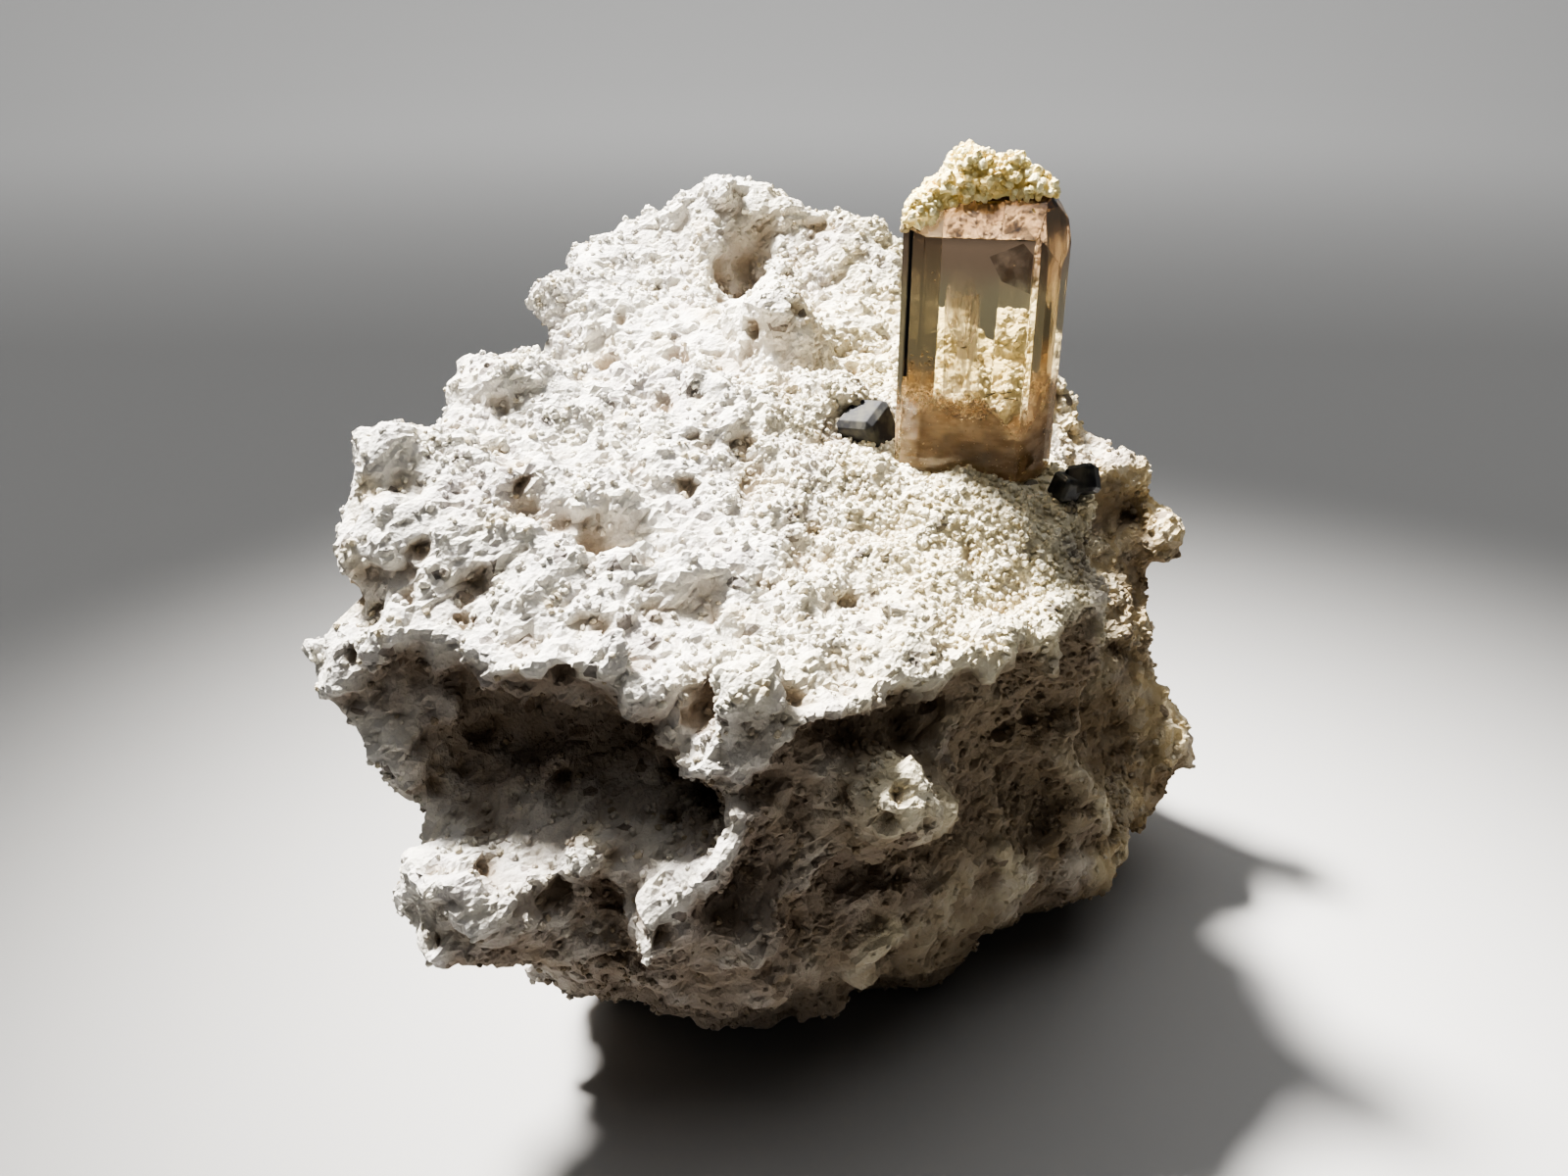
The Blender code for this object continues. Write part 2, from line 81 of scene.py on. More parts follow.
lens = bpy.data.cameras.new("photo_camera")
lens.sensor_width = SENSOR_WIDTH
lens.lens = SENSOR_WIDTH * FOCAL_PIXELS / PHOTO_WIDTH
lens.clip_start = 1 * MM
camera = add_object("photo_camera", lens)
camera.location = CAMERA_PLACE
camera.rotation_euler = (math.pi / 2 - CAMERA_DOWN, 0, 0)
bpy.context.scene.camera = camera


def ray_through(column, row):
    """The direction in which the camera sees a pixel of the photograph."""
    sideways = (column - PHOTO_WIDTH / 2) / FOCAL_PIXELS
    upwards = (PHOTO_HEIGHT / 2 - row) / FOCAL_PIXELS
    forward = Vector((0, math.cos(CAMERA_DOWN), -math.sin(CAMERA_DOWN)))
    up = Vector((0, math.sin(CAMERA_DOWN), math.cos(CAMERA_DOWN)))
    return (Vector((sideways, 0, 0)) + up * upwards + forward).normalized()


print("lens", round(lens.lens, 2), "mm, looking down", round(math.degrees(CAMERA_DOWN)), "degrees")

# %% [markdown]
# ## Working on meshes
#
# A node's mesh comes as loose triangles, so a copy of it is merged first. A voxel remesh then
# lays an even net of small faces over it, which lumps can be joined to and relief can be pressed
# into.

# %% Mesh helpers
def add_piece(name, bm):
    """Turns a bmesh into an object of the scene."""
    mesh = bpy.data.meshes.new(name)
    bm.to_mesh(mesh)
    bm.free()
    return add_object(name, mesh)


def merged_copy(node):
    """A solid's mesh, with its loose triangles joined."""
    bm = bmesh.new()
    bm.from_mesh(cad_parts[node].data)
    bmesh.ops.remove_doubles(bm, verts=bm.verts, dist=WELD)
    return bm


def bake_modifiers(piece):
    """Replaces a piece's mesh by what its modifiers make of it."""
    graph = bpy.context.evaluated_depsgraph_get()
    mesh = bpy.data.meshes.new_from_object(piece.evaluated_get(graph))
    piece.modifiers.clear()
    old = piece.data
    piece.data = mesh
    bpy.data.meshes.remove(old)


def lay_net(piece, cell):
    """Joins all that is in a piece under one even net of small faces."""
    modifier = piece.modifiers.new("net", "REMESH")
    modifier.mode = "VOXEL"
    modifier.voxel_size = cell * MM
    bake_modifiers(piece)


def add_mesh(piece, other):
    """Puts another object's mesh into a piece, and drops the object."""
    bm = bmesh.new()
    bm.from_mesh(piece.data)
    bm.from_mesh(other.data)
    bm.to_mesh(piece.data)
    bm.free()
    bpy.data.objects.remove(other)


def corners_of(piece):
    """The places and the normals of a piece's vertices, in millimetres."""
    count = len(piece.data.vertices)
    places = np.empty(count * 3, np.float32)
    normals = np.empty(count * 3, np.float32)
    piece.data.vertices.foreach_get("co", places)
    piece.data.vertex_normals.foreach_get("vector", normals)
    return places.reshape(-1, 3) / MM, normals.reshape(-1, 3)


def move_corners(piece, places):
    """Puts a piece's vertices at new places, given in millimetres."""
    piece.data.vertices.foreach_set("co", (places * MM).astype(np.float32).ravel())
    piece.data.update()


def smoothed(piece, places, rounds):
    """Where the vertices would lie if each kept moving to the middle of its neighbours."""
    ends = np.empty(len(piece.data.edges) * 2, np.int32)
    piece.data.edges.foreach_get("vertices", ends)
    first, second = ends.reshape(-1, 2).T
    count = len(places)
    neighbours = np.bincount(first, minlength=count) + np.bincount(second, minlength=count)
    share = 1 / np.maximum(neighbours, 1)
    result = places.astype(np.float64)
    for _ in range(rounds):
        total = np.empty_like(result)
        for axis in range(3):
            total[:, axis] = np.bincount(first, result[second, axis], count)
            total[:, axis] += np.bincount(second, result[first, axis], count)
        result = total * share[:, None]
    return result


def note_on_corners(piece, name, values):
    """Keeps one number per vertex on the mesh, for its material or for its grains."""
    attribute = piece.data.attributes.new(name, "FLOAT", "POINT")
    attribute.data.foreach_set("value", np.asarray(values, np.float32))


print("mesh helpers are ready")

# %% [markdown]
# ## Node trees as expressions
#
# Materials and the scattering of grains are node trees. They could be built node by node. Here
# one class adds nodes to a tree, and another wraps a socket, so that sums are written as Python
# expressions, such as `1 - mask * 0.3`, and are easier to read.

# %% Node expressions
class Term:
    """A socket that can stand in a Python expression."""

    def __init__(self, tree, socket):
        self.tree = tree
        self.socket = socket

    def __add__(self, other):
        return self.tree.math("ADD", self, other)

    __radd__ = __add__

    def __sub__(self, other):
        return self.tree.math("SUBTRACT", self, other)

    def __rsub__(self, other):
        return self.tree.math("SUBTRACT", other, self)

    def __mul__(self, other):
        return self.tree.math("MULTIPLY", self, other)

    __rmul__ = __mul__

    def __truediv__(self, other):
        return self.tree.math("DIVIDE", self, other)

    def rise(self, low, high, top=1.0):
        """0 up to low, the top from high on, and a smooth rise between them."""
        limits = {"Value": self, "From Min": low, "From Max": high, "To Max": top}
        return self.tree.add("ShaderNodeMapRange", {"interpolation_type": "SMOOTHSTEP"}, limits)

    def mix(self, first, second):
        """A colour from the first, where this is 0, to the second, where it is 1."""
        sockets = {0: self, 6: first, 7: second}
        settings = {"data_type": "RGBA", "clamp_factor": True}
        return self.tree.add("ShaderNodeMix", settings, sockets, output=2)


class Tree:
    """A node tree, with the one method that adds a node to it."""

    def __init__(self, nodes):
        self.nodes = nodes

    def put(self, socket, value):
        """Links a term to a socket, or sets the socket to a value."""
        if isinstance(value, Term):
            self.nodes.links.new(value.socket, socket)
        elif socket.type == "RGBA":
            socket.default_value = (*value, 1)
        else:
            socket.default_value = value

    def add(self, kind, settings=None, sockets=None, output=0):
        """Adds a node of a kind, sets it up, and returns one of its outputs."""
        node = self.nodes.nodes.new(kind)
        for name, value in (settings or {}).items():
            setattr(node, name, value)
        for name, value in (sockets or {}).items():
            self.put(node.inputs[name], value)
        return Term(self, node.outputs[output])

    def math(self, operation, first, second):
        return self.add("ShaderNodeMath", {"operation": operation}, {0: first, 1: second})

    def attribute(self, name):
        """A number that the mesh keeps for each vertex."""
        return self.add("ShaderNodeAttribute", {"attribute_name": name}, output="Fac")


class Finish(Tree):
    """A material with one Principled shader, whose fixed values are given by socket name."""

    def __init__(self, name, fixed):
        self.material = bpy.data.materials.new(name)
        self.material.use_nodes = True
        super().__init__(self.material.node_tree)
        self.shader = self.nodes.nodes["Principled BSDF"]
        self.place = self.add("ShaderNodeTexCoord", output="Object")
        self.give(fixed)

    def give(self, sockets):
        """Feeds the shader's sockets."""
        for name, value in sockets.items():
            self.put(self.shader.inputs[name], value)

    def noise(self, size, detail, place=None):
        """Cloudy noise with lumps of about so many millimetres."""
        sockets = {"Vector": place or self.place, "Scale": 1 / (size * MM), "Detail": detail}
        return self.add("ShaderNodeTexNoise", sockets=sockets, output="Fac")

    def cells(self, size, output="Distance"):
        """Cells of about so many millimetres."""
        sockets = {"Vector": self.place, "Scale": 1 / (size * MM)}
        return self.add("ShaderNodeTexVoronoi", sockets=sockets, output=output)

    def moved(self, offset):
        """The place, moved by so many millimetres, so that a noise doesn't repeat another."""
        shift = (offset * MM, offset * MM, offset * MM)
        return self.add("ShaderNodeVectorMath", {"operation": "ADD"}, {0: self.place, 1: shift})

    def stretched(self, upright):
        """The place with its height scaled: under 1 for upright streaks, over 1 for flat layers."""
        sockets = {"Vector": self.place, "Scale": (1, 1, upright)}
        return self.add("ShaderNodeMapping", sockets=sockets)

    def along(self, axis):
        """The coordinate along an axis, in millimetres."""
        return self.add("ShaderNodeSeparateXYZ", sockets={0: self.place}, output=axis) / MM

    def bump(self, height, depth, strength=1.0):
        """A relief of so many millimetres, for the shader's normal."""
        sockets = {"Height": height, "Distance": depth * MM, "Strength": strength}
        return self.add("ShaderNodeBump", sockets=sockets)


print("node helpers are ready")

# %% [markdown]
# ## Scattering
#
# Broken rhyolite is made of grains and crumbs. Thousands of them are scattered by Geometry Nodes:
# points are dropped on the host's faces, as thickly as a number on each vertex says, a small
# angular grain is set on each, and the result is made into plain mesh. Each grain keeps a random
# tint, so that neighbours differ in colour.

# %% Scattering
KINDS_OF_GRAIN = 4
# A grain's radius before it is sized, and how far its sides and its corners are pulled.
UNIT_RADIUS = 0.5
STRETCH = (0.75, 1.25)
PULL = (0.78, 1.12)


def angular_grains(name, fineness, seed):
    """A few different grains, each a ball of few faces with its corners pulled about."""
    draw = random.Random(seed)
    kinds = bpy.data.collections.new(name)
    for number in range(KINDS_OF_GRAIN):
        bm = bmesh.new()
        bmesh.ops.create_icosphere(bm, subdivisions=fineness, radius=UNIT_RADIUS)
        stretch = [draw.uniform(*STRETCH) for _ in range(3)]
        for vert in bm.verts:
            pull = draw.uniform(*PULL)
            vert.co = Vector(value * length * pull for value, length in zip(vert.co, stretch))
        grain = add_piece(f"{name}_{number}", bm)
        bpy.context.scene.collection.objects.unlink(grain)
        kinds.objects.link(grain)
    return kinds


def scatter(name, host, kinds, where, per_mm2, widths, sunk, seed):
    """One piece of grains, set on a host as thickly as one of the host's numbers says."""
    group = bpy.data.node_groups.new(name, "GeometryNodeTree")
    for way in ("INPUT", "OUTPUT"):
        group.interface.new_socket("Geometry", in_out=way, socket_type="NodeSocketGeometry")
    tree = Tree(group)
    surface = tree.add("NodeGroupInput")
    thickness = tree.add("GeometryNodeInputNamedAttribute", {"data_type": "FLOAT"}, {"Name": where})
    spread = {"Mesh": surface, "Density": thickness * (per_mm2 / MM**2), "Seed": seed}
    points = tree.add("GeometryNodeDistributePointsOnFaces", sockets=spread)
    normal = Term(tree, points.socket.node.outputs["Normal"])
    sizes = {"Min": widths[0] * MM, "Max": widths[1] * MM, "Seed": seed + 1}
    width = tree.add("FunctionNodeRandomValue", {"data_type": "FLOAT"}, sizes, output=1)
    lift = {0: normal, "Scale": width * (UNIT_RADIUS - sunk)}
    offset = tree.add("ShaderNodeVectorMath", {"operation": "SCALE"}, lift)
    placed = tree.add("GeometryNodeSetPosition", sockets={"Geometry": points, "Offset": offset})
    tint = tree.add("FunctionNodeRandomValue", {"data_type": "FLOAT"}, {"Seed": seed + 2}, output=1)
    per_point = {"data_type": "FLOAT", "domain": "POINT"}
    kept = {"Geometry": placed, "Name": "tint", "Value": tint}
    tinted = tree.add("GeometryNodeStoreNamedAttribute", per_point, kept)
    full_turn = {"Max": (math.tau, math.tau, math.tau), "Seed": seed + 3}
    turn = tree.add("FunctionNodeRandomValue", {"data_type": "FLOAT_VECTOR"}, full_turn)
    one_by_one = {"Collection": kinds, "Separate Children": True, "Reset Children": True}
    shapes = tree.add("GeometryNodeCollectionInfo", sockets=one_by_one)
    chosen = {"Points": tinted, "Instance": shapes, "Pick Instance": True}
    chosen.update({"Rotation": turn, "Scale": width})
    grains = tree.add("GeometryNodeInstanceOnPoints", sockets=chosen)
    solid = tree.add("GeometryNodeRealizeInstances", sockets={"Geometry": grains})
    end = group.nodes.new("NodeGroupOutput")
    tree.put(end.inputs["Geometry"], solid)

    piece = add_object(name, host.data.copy())
    modifier = piece.modifiers.new("scatter", "NODES")
    modifier.node_group = group
    bake_modifiers(piece)
    print(name, len(piece.data.polygons), "faces")
    return piece


print("scattering is ready")

# %% [markdown]
# ## The stone
#
# The stone is one lump that broke along no plane: swells, ledges, crumbs, and pits where crumbs
# fell out. The solid's broad facets are rounded off first, and the sockets round the crystals are
# filled, because real crystals grow out of the rock with no gap. Sculpting by hand would do it
# too, but a script that joins lumps and relays the net gives the same stone each time.

# %% The lump
FIRST_CELL = 0.45
SMOOTHING_ROUNDS = 5
# Lumps that close the sockets and round off thin corners: middle and half-widths.
FILLINGS = (
    ((6.9, -1.7, 23.6), (4.6, 3.2, 2.9)),
    ((6.2, 0.2, 25.0), (4.0, 1.6, 1.9)),
    ((9.6, -1.2, 24.6), (1.8, 2.2, 1.7)),
    ((1.9, -0.7, 26.3), (1.5, 1.4, 1.1)),
    ((10.7, -3.6, 24.8), (1.2, 1.1, 0.9)),
    ((11.6, -3.3, 24.9), (1.2, 1.1, 0.8)),
    ((-18.9, -7.0, 27.6), (1.9, 2.4, 2.0)),
    ((-18.3, -8.4, 25.4), (2.2, 2.6, 2.6)),
    ((18.6, 7.4, 19.0), (1.8, 1.8, 1.9)),
)

bm = merged_copy("matrix")
for middle, halves in FILLINGS:
    size = Matrix.Diagonal((*(half * MM for half in halves), 1))
    where = Matrix.Translation(Vector(middle) * MM) @ size
    bmesh.ops.create_icosphere(bm, subdivisions=3, radius=1, matrix=where)
stone = add_piece("stone", bm)
lay_net(stone, FIRST_CELL)
places, _ = corners_of(stone)
places = smoothed(stone, places, SMOOTHING_ROUNDS)
places[:, 2] = np.maximum(places[:, 2], 0)
move_corners(stone, places)
print("lump:", len(places), "vertices")

# %% [markdown]
# Strokes, like a sculptor's, raise the ridges and press in the holes that the photograph shows.
# Each is placed by the pixels that it runs through. It sits on the stone itself, where rays meet
# it, and so it is true from every side.

# %% Strokes
STROKE_CELL = 0.35
PIXEL_STEP = 7
# A stroke fades out at so many times its half-width.
SOFT_EDGE = 1.3
# Each stroke: its half-width and its height, in millimetres, and the pixels it runs through.
BROAD_STROKES = {
    "blunt corner": (1.3, -1.1, (336, 434), (345, 440)),
    "crevice under the brow": (1.3, -1.2, (540, 512), (581, 530), (622, 545)),
    "brow above the crevice": (1.2, 0.6, (545, 490), (600, 500), (650, 520)),
    "middle ledge": (1.2, 0.6, (636, 575), (678, 580), (740, 590)),
    "step below that ledge": (0.8, -0.6, (630, 556), (690, 563)),
    "pit at the left edge": (1.3, -1.6, (357, 611)),
    "rim pit": (0.9, -1.0, (489, 590)),
    "second rim pit": (1.0, -1.2, (591, 637)),
    "third rim pit": (0.8, -0.8, (524, 634), (540, 640)),
    "hollow behind the boulder": (1.6, -1.3, (752, 290), (762, 268)),
    "rim's edge": (0.9, 0.6, (400, 646), (450, 648), (500, 668), (535, 690), (620, 662)),
    "hole at the rim's end": (1.0, -2.8, (697, 690), (697, 735)),
    "hole under the rim": (0.9, -1.6, (650, 688)),
    "rib beside the hole": (0.6, 0.8, (678, 690), (682, 725), (692, 745)),
    "hole under the ridge": (1.2, -2.8, (722, 795), (738, 812)),
    "hole beside the ridge": (0.8, -2.4, (821, 812), (823, 832)),
    "lit ledge over the hole": (0.8, 0.9, (655, 748), (690, 758), (722, 768)),
    "slanting ridge": (0.9, 0.9, (735, 785), (765, 785), (800, 760), (855, 728)),
    "dark foot of the ridge": (1.0, -1.9, (790, 805), (820, 780), (850, 760)),
    "gap over the lump": (0.9, -1.8, (865, 752), (895, 742), (925, 738), (960, 745)),
    "right wall": (2.4, -2.0, (1000, 770), (1000, 830), (1045, 745), (1060, 830), (1090, 735)),
    "plateau's overhang": (1.2, 0.8, (960, 700), (1000, 660), (1060, 640), (1120, 600)),
    "upper wall patch": (1.0, 0.8, (1070, 775), (1100, 790)),
    "lower wall patch": (0.8, 0.6, (1040, 850), (1065, 848)),
    "corner buttress": (1.0, 0.9, (1000, 655), (1005, 690), (1010, 720)),
    "first gap": (0.7, -1.3, (1034, 690), (1040, 715)),
    "second buttress": (0.8, 0.8, (1062, 655), (1060, 690), (1055, 718)),
    "second gap": (0.6, -1.0, (1084, 660), (1080, 700)),
    "third buttress": (0.9, 0.7, (1110, 620), (1115, 660), (1112, 695)),
    "round lump": (2.2, 1.5, (875, 815), (915, 805), (935, 835), (895, 845)),
    "round lump's foot": (1.1, -1.2, (850, 885), (900, 890), (960, 880)),
    "left of the diagonal lump": (0.9, -0.6, (610, 880), (660, 870)),
    "diagonal lump": (1.7, 1.5, (765, 835), (740, 865), (715, 900), (690, 940), (668, 960)),
    "under the middle lobe": (1.2, -1.5, (560, 935), (610, 930), (650, 948)),
    "right of the diagonal lump": (0.7, -1.8, (785, 870), (765, 905), (745, 940)),
    "thin rib": (0.7, 1.5, (825, 872), (800, 905), (770, 945), (745, 968)),
    "lower left lump": (1.3, 0.6, (440, 900), (490, 915), (530, 920)),
    "middle lump": (1.3, 0.9, (600, 880), (640, 860), (670, 880)),
    "beside that lump": (0.6, -1.0, (548, 880), (552, 925)),
    "recess gully": (1.2, -0.9, (420, 700), (470, 715), (600, 720), (640, 740)),
}


def along_pixels(pixels):
    """Pixels at an even spacing along a broken line."""
    found = []
    for start, end in zip(pixels, pixels[1:] or pixels):
        steps = max(1, round(math.dist(start, end) / PIXEL_STEP))
        for step in range(steps + 1):
            share = step / steps
            found.append([a + (b - a) * share for a, b in zip(start, end)])
    return found


def skin_of(piece):
    """A piece's faces, ready to be met by rays."""
    corners = [vert.co for vert in piece.data.vertices]
    faces = [face.vertices for face in piece.data.polygons]
    return BVHTree.FromPolygons(corners, faces)


def stroke(piece, strokes):
    """Raises or presses in a piece's skin along lines that the camera sees."""
    skin = skin_of(piece)
    places, _ = corners_of(piece)
    moved = places.copy()
    for name, (half_width, height, *pixels) in strokes.items():
        centres = []
        lift = Vector()
        for column, row in along_pixels(pixels):
            spot, normal, _, _ = skin.ray_cast(CAMERA_PLACE, ray_through(column, row))
            if spot is not None:
                centres.append(np.array(spot) / MM)
                lift += normal
        if not centres:
            print("nothing under the stroke for", name)
            continue
        lift = np.array(lift.normalized())
        nearest = np.min([np.linalg.norm(places - centre, axis=1) for centre in centres], axis=0)
        weight = np.clip(1 - (nearest / half_width / SOFT_EDGE) ** 2, 0, 1) ** 2
        moved += weight[:, None] * lift * height
    move_corners(piece, moved)


stroke(stone, BROAD_STROKES)
lay_net(stone, STROKE_CELL)
print(len(BROAD_STROKES), "strokes on", len(stone.data.vertices), "vertices")

# %% [markdown]
# Crumbs come before the fine relief. They are set half sunk into the skin and joined to it by
# the next net, so that the gaps between them become real crevices, as in the broken rock. The
# ground round the topaz is sandier and smoother than the rest, so the blocky relief fades there.

# %% Crumbs
CRUMB_CELL = 0.3
LARGE_CRUMBS = {"per_mm2": 0.05, "widths": (1.4, 2.6), "sunk": 0.75, "seed": 11}
SMALL_CRUMBS = {"per_mm2": 0.3, "widths": (0.6, 1.3), "sunk": 0.6, "seed": 12}
SWELL_SIZE, SWELL_HEIGHT, SWELL_NOISE = 5.5, 0.5, (0.9, 2.1, 2)
BLOCKS = {"size": 3.4, "step": 0.32, "crack": 0.45}
BEND_SIZE, BEND = 4, 1.6
CRACK_WIDTH = 0.16
# Spreads the cells' middles, so that each cell gets a number of its own.
CELL_KEY = 7.3
# Near the topaz's foot so much of the relief is left, and it is full from so far away.
TOPAZ_FOOT = Vector((6.9, -1.5, 26.5))
CALM_RADIUS = 5
BLOCK_CALM = (0.4, 12)
FOOT_RISE, FOOT_START = 0.9, 0.3


def smooth_rise(value, low, high):
    """0 up to low, 1 from high on, and a smooth rise between them."""
    share = np.clip((value - low) / (high - low), 0, 1)
    return share * share * (3 - 2 * share)


def broken(place, size, step, crack):
    """Broken ground: cells, each at a level of its own, with cracks between them."""
    distances, centres = noise.voronoi(place / size)
    own = noise.cell(centres[0] * CELL_KEY)
    other = noise.cell(centres[1] * CELL_KEY)
    inner = min(1.0, (distances[1] - distances[0]) / CRACK_WIDTH)
    inner = inner * inner * (3 - 2 * inner)
    level = own * (1 + inner) / 2 + other * (1 - inner) / 2
    return step * level - crack * (1 - inner)


def calmed(place, least, full_from):
    """1 far from the topaz, falling to the least at its foot."""
    away = smooth_rise((place - TOPAZ_FOOT).length, CALM_RADIUS, full_from)
    return least + (1 - least) * away


def blocks_at(place):
    """How far the broad, blocky relief stands out at a place, both in millimetres."""
    bent = place + noise.noise_vector(place / BEND_SIZE) * BEND
    swell = noise.fractal(place / SWELL_SIZE, *SWELL_NOISE) * SWELL_HEIGHT
    calm = calmed(place, *BLOCK_CALM)
    return swell * calm + broken(bent, **BLOCKS) * calm


def above_foot(places):
    """1 on the stone's sides and top, and 0 on the flat underside."""
    return np.clip(places[:, 2] / FOOT_RISE - FOOT_START, 0, 1)


def displace(piece, relief):
    """Moves a piece's skin in and out by a relief, but not its flat foot."""
    places, normals = corners_of(piece)
    lifts = np.array([relief(Vector(place)) for place in places])
    places = places + normals * (lifts * above_foot(places))[:, None]
    places[:, 2] = np.maximum(places[:, 2], 0)
    move_corners(piece, places)


displace(stone, blocks_at)
round_kinds = angular_grains("crumb_kind", 2, seed=3)
for crumbs in (LARGE_CRUMBS, SMALL_CRUMBS):
    places, _ = corners_of(stone)
    note_on_corners(stone, "all over", above_foot(places))
    add_mesh(stone, scatter("crumbs", stone, round_kinds, "all over", **crumbs))
    lay_net(stone, CRUMB_CELL)
print("stone with crumbs:", len(stone.data.vertices), "vertices")

# %% [markdown]
# The last relief is fine: small pits, cracks and grit. How deep each spot lies below the stone's
# general level is kept on the mesh: hollows are darkened, with dust and painted shade. So is how
# much of the sky towards the light the stone hides from it: there a brown stain and painted shade
# are laid, so the recess and the faces turned from the light are dark, and the open top stays pale.

# %% Relief
FINE_STROKES = {
    "pit at the left edge": (0.7, -0.6, (357, 611)),
    "rim pit": (0.5, -0.6, (489, 590)),
    "second rim pit": (0.6, -0.6, (591, 637)),
    "crack near the brow": (0.25, -0.4, (750, 440), (751, 456)),
    "little ledge": (0.4, 0.3, (728, 434), (748, 438)),
    "recess beside the nodule": (0.9, -0.8, (508, 450), (520, 462)),
    "shade left of the table": (0.7, -0.5, (375, 492), (425, 494)),
    "recess hole": (0.4, -0.5, (435, 755)),
    "second recess hole": (0.4, -0.5, (474, 788)),
    "hole under the tooth": (0.5, -0.6, (575, 794)),
    "round lump's middle": (1.0, 0.8, (900, 822), (912, 830)),
}
CRUMBS = {"size": 1.3, "step": 0.13, "crack": 0.16}
PIT_SPACING, PIT_WIDTH, PIT_DEPTH, PIT_CHOICE = 1.9, 0.33, 0.7, 0.1
GRIT_SIZE, GRIT_HEIGHT, GRIT_LEVEL = 0.45, 0.13, 0.45
ROUGH_SIZE, ROUGH_HEIGHT, ROUGH_NOISE = 2.2, 0.15, (0.8, 2.0, 3)
FINE_BEND_SCALE, FINE_BEND = 0.6, 0.5
FINE_CALM = (0.35, 11)
LEVEL_ROUNDS = 12
# Rays to the sky: how many, how far they spread, and how far out they start and end.
SKY_RAYS = 12
SKY_SPREAD = math.radians(70)
SKY_START, SKY_REACH = 0.15, 14
# The side of the key light, towards which the sky is tilted, so that faces turned from the light
# count as sheltered: up, and a little to the left and the back.
LIGHT_SIDE = (-0.45, 0.25, 1)


def relief_at(place):
    """How far crumbs, pits and grit stand out at a place, both in millimetres."""
    bent = place + noise.noise_vector(place * FINE_BEND_SCALE) * FINE_BEND
    calm = calmed(place, *FINE_CALM)
    crumb = broken(bent, **CRUMBS) * calm
    distances, centres = noise.voronoi(bent / PIT_SPACING)
    chosen = noise.cell(centres[0] * CELL_KEY) > PIT_CHOICE
    pit = -PIT_DEPTH * max(0.0, 1 - (distances[0] / PIT_WIDTH) ** 2) * calm if chosen else 0.0
    grit = (GRIT_LEVEL - noise.voronoi(place / GRIT_SIZE)[0][0]) * GRIT_HEIGHT
    rough = noise.fractal(place / ROUGH_SIZE, *ROUGH_NOISE) * ROUGH_HEIGHT
    return crumb + pit + grit + rough


def hidden_sky(piece):
    """For each vertex, the share of the sky that the piece itself hides from it."""
    skin = skin_of(piece)
    tilt = Vector((0, 0, 1)).rotation_difference(Vector(LIGHT_SIDE))
    rays = []
    for number in range(SKY_RAYS):
        # Turning by the golden angle from ray to ray spreads them evenly.
        bearing = number * math.pi * (3 - math.sqrt(5))
        up = math.cos(math.sqrt((number + 0.5) / SKY_RAYS) * SKY_SPREAD)
        level = math.sqrt(1 - up * up)
        rays.append(tilt @ Vector((level * math.cos(bearing), level * math.sin(bearing), up)))
    shares = []
    for vert in piece.data.vertices:
        start = vert.co + vert.normal * SKY_START * MM
        blocked = sum(skin.ray_cast(start, ray, SKY_REACH * MM)[0] is not None for ray in rays)
        shares.append(blocked / SKY_RAYS)
    return np.array(shares)


stroke(stone, FINE_STROKES)
places, normals = corners_of(stone)
before = smoothed(stone, places, LEVEL_ROUNDS)
displace(stone, relief_at)
places, _ = corners_of(stone)
hollow = np.einsum("ij,ij->i", before - places, normals)
note_on_corners(stone, "hollow", hollow)
# Where the stone hides the sky towards the light, its colour gets a brown stain and painted shade.
stain_and_shade = smoothed(stone, np.repeat(hidden_sky(stone)[:, None], 3, axis=1), 2)[:, 0]
note_on_corners(stone, "stain_and_shade", stain_and_shade)
stone.data.shade_flat()
print("hollow from", round(float(hollow.min()), 2), "to", round(float(hollow.max()), 2), "mm")
print("sheltered share", round(float((stain_and_shade > 0.6).mean()), 2))

# %% [markdown]
# The stone's grains are too small for its net. They are pieces of their own, of few faces each,
# scattered thickly on the sugary ground round the topaz and thinly elsewhere.

# %% Grains
GRAINS = {"widths": (0.17, 0.42), "sunk": 0.42}
# Each side's grains per square millimetre, and their seed.
SIDES = {"top": (13.0, 30), "front": (8.0, 35), "back": (5.0, 40)}
# A face is on top above this height of its normal, and in front below this depth of it.
TOP_FACING, FRONT_FACING = 0.45, -0.2
# Where the sugary ground thins out. The rest has a thin cover and thicker patches.
SUGARY_REACH = (6, 14)
THIN_COVER, PATCH_COVER, PATCH_SIZE = 0.1, 0.4, 3
TOPAZ_TURN = math.radians(-11.3)
TOPAZ_HALF_WIDTH, TOPAZ_HALF_DEPTH = 3.0, 1.5


def inside_topaz(places):
    """Which places are within the topaz's prism, and not near its faces."""
    across = places - np.array(TOPAZ_FOOT)
    sideways = across[:, 0] * math.cos(TOPAZ_TURN) + across[:, 1] * math.sin(TOPAZ_TURN)
    inwards = across[:, 1] * math.cos(TOPAZ_TURN) - across[:, 0] * math.sin(TOPAZ_TURN)
    return (np.abs(sideways) < TOPAZ_HALF_WIDTH) & (np.abs(inwards) < TOPAZ_HALF_DEPTH)


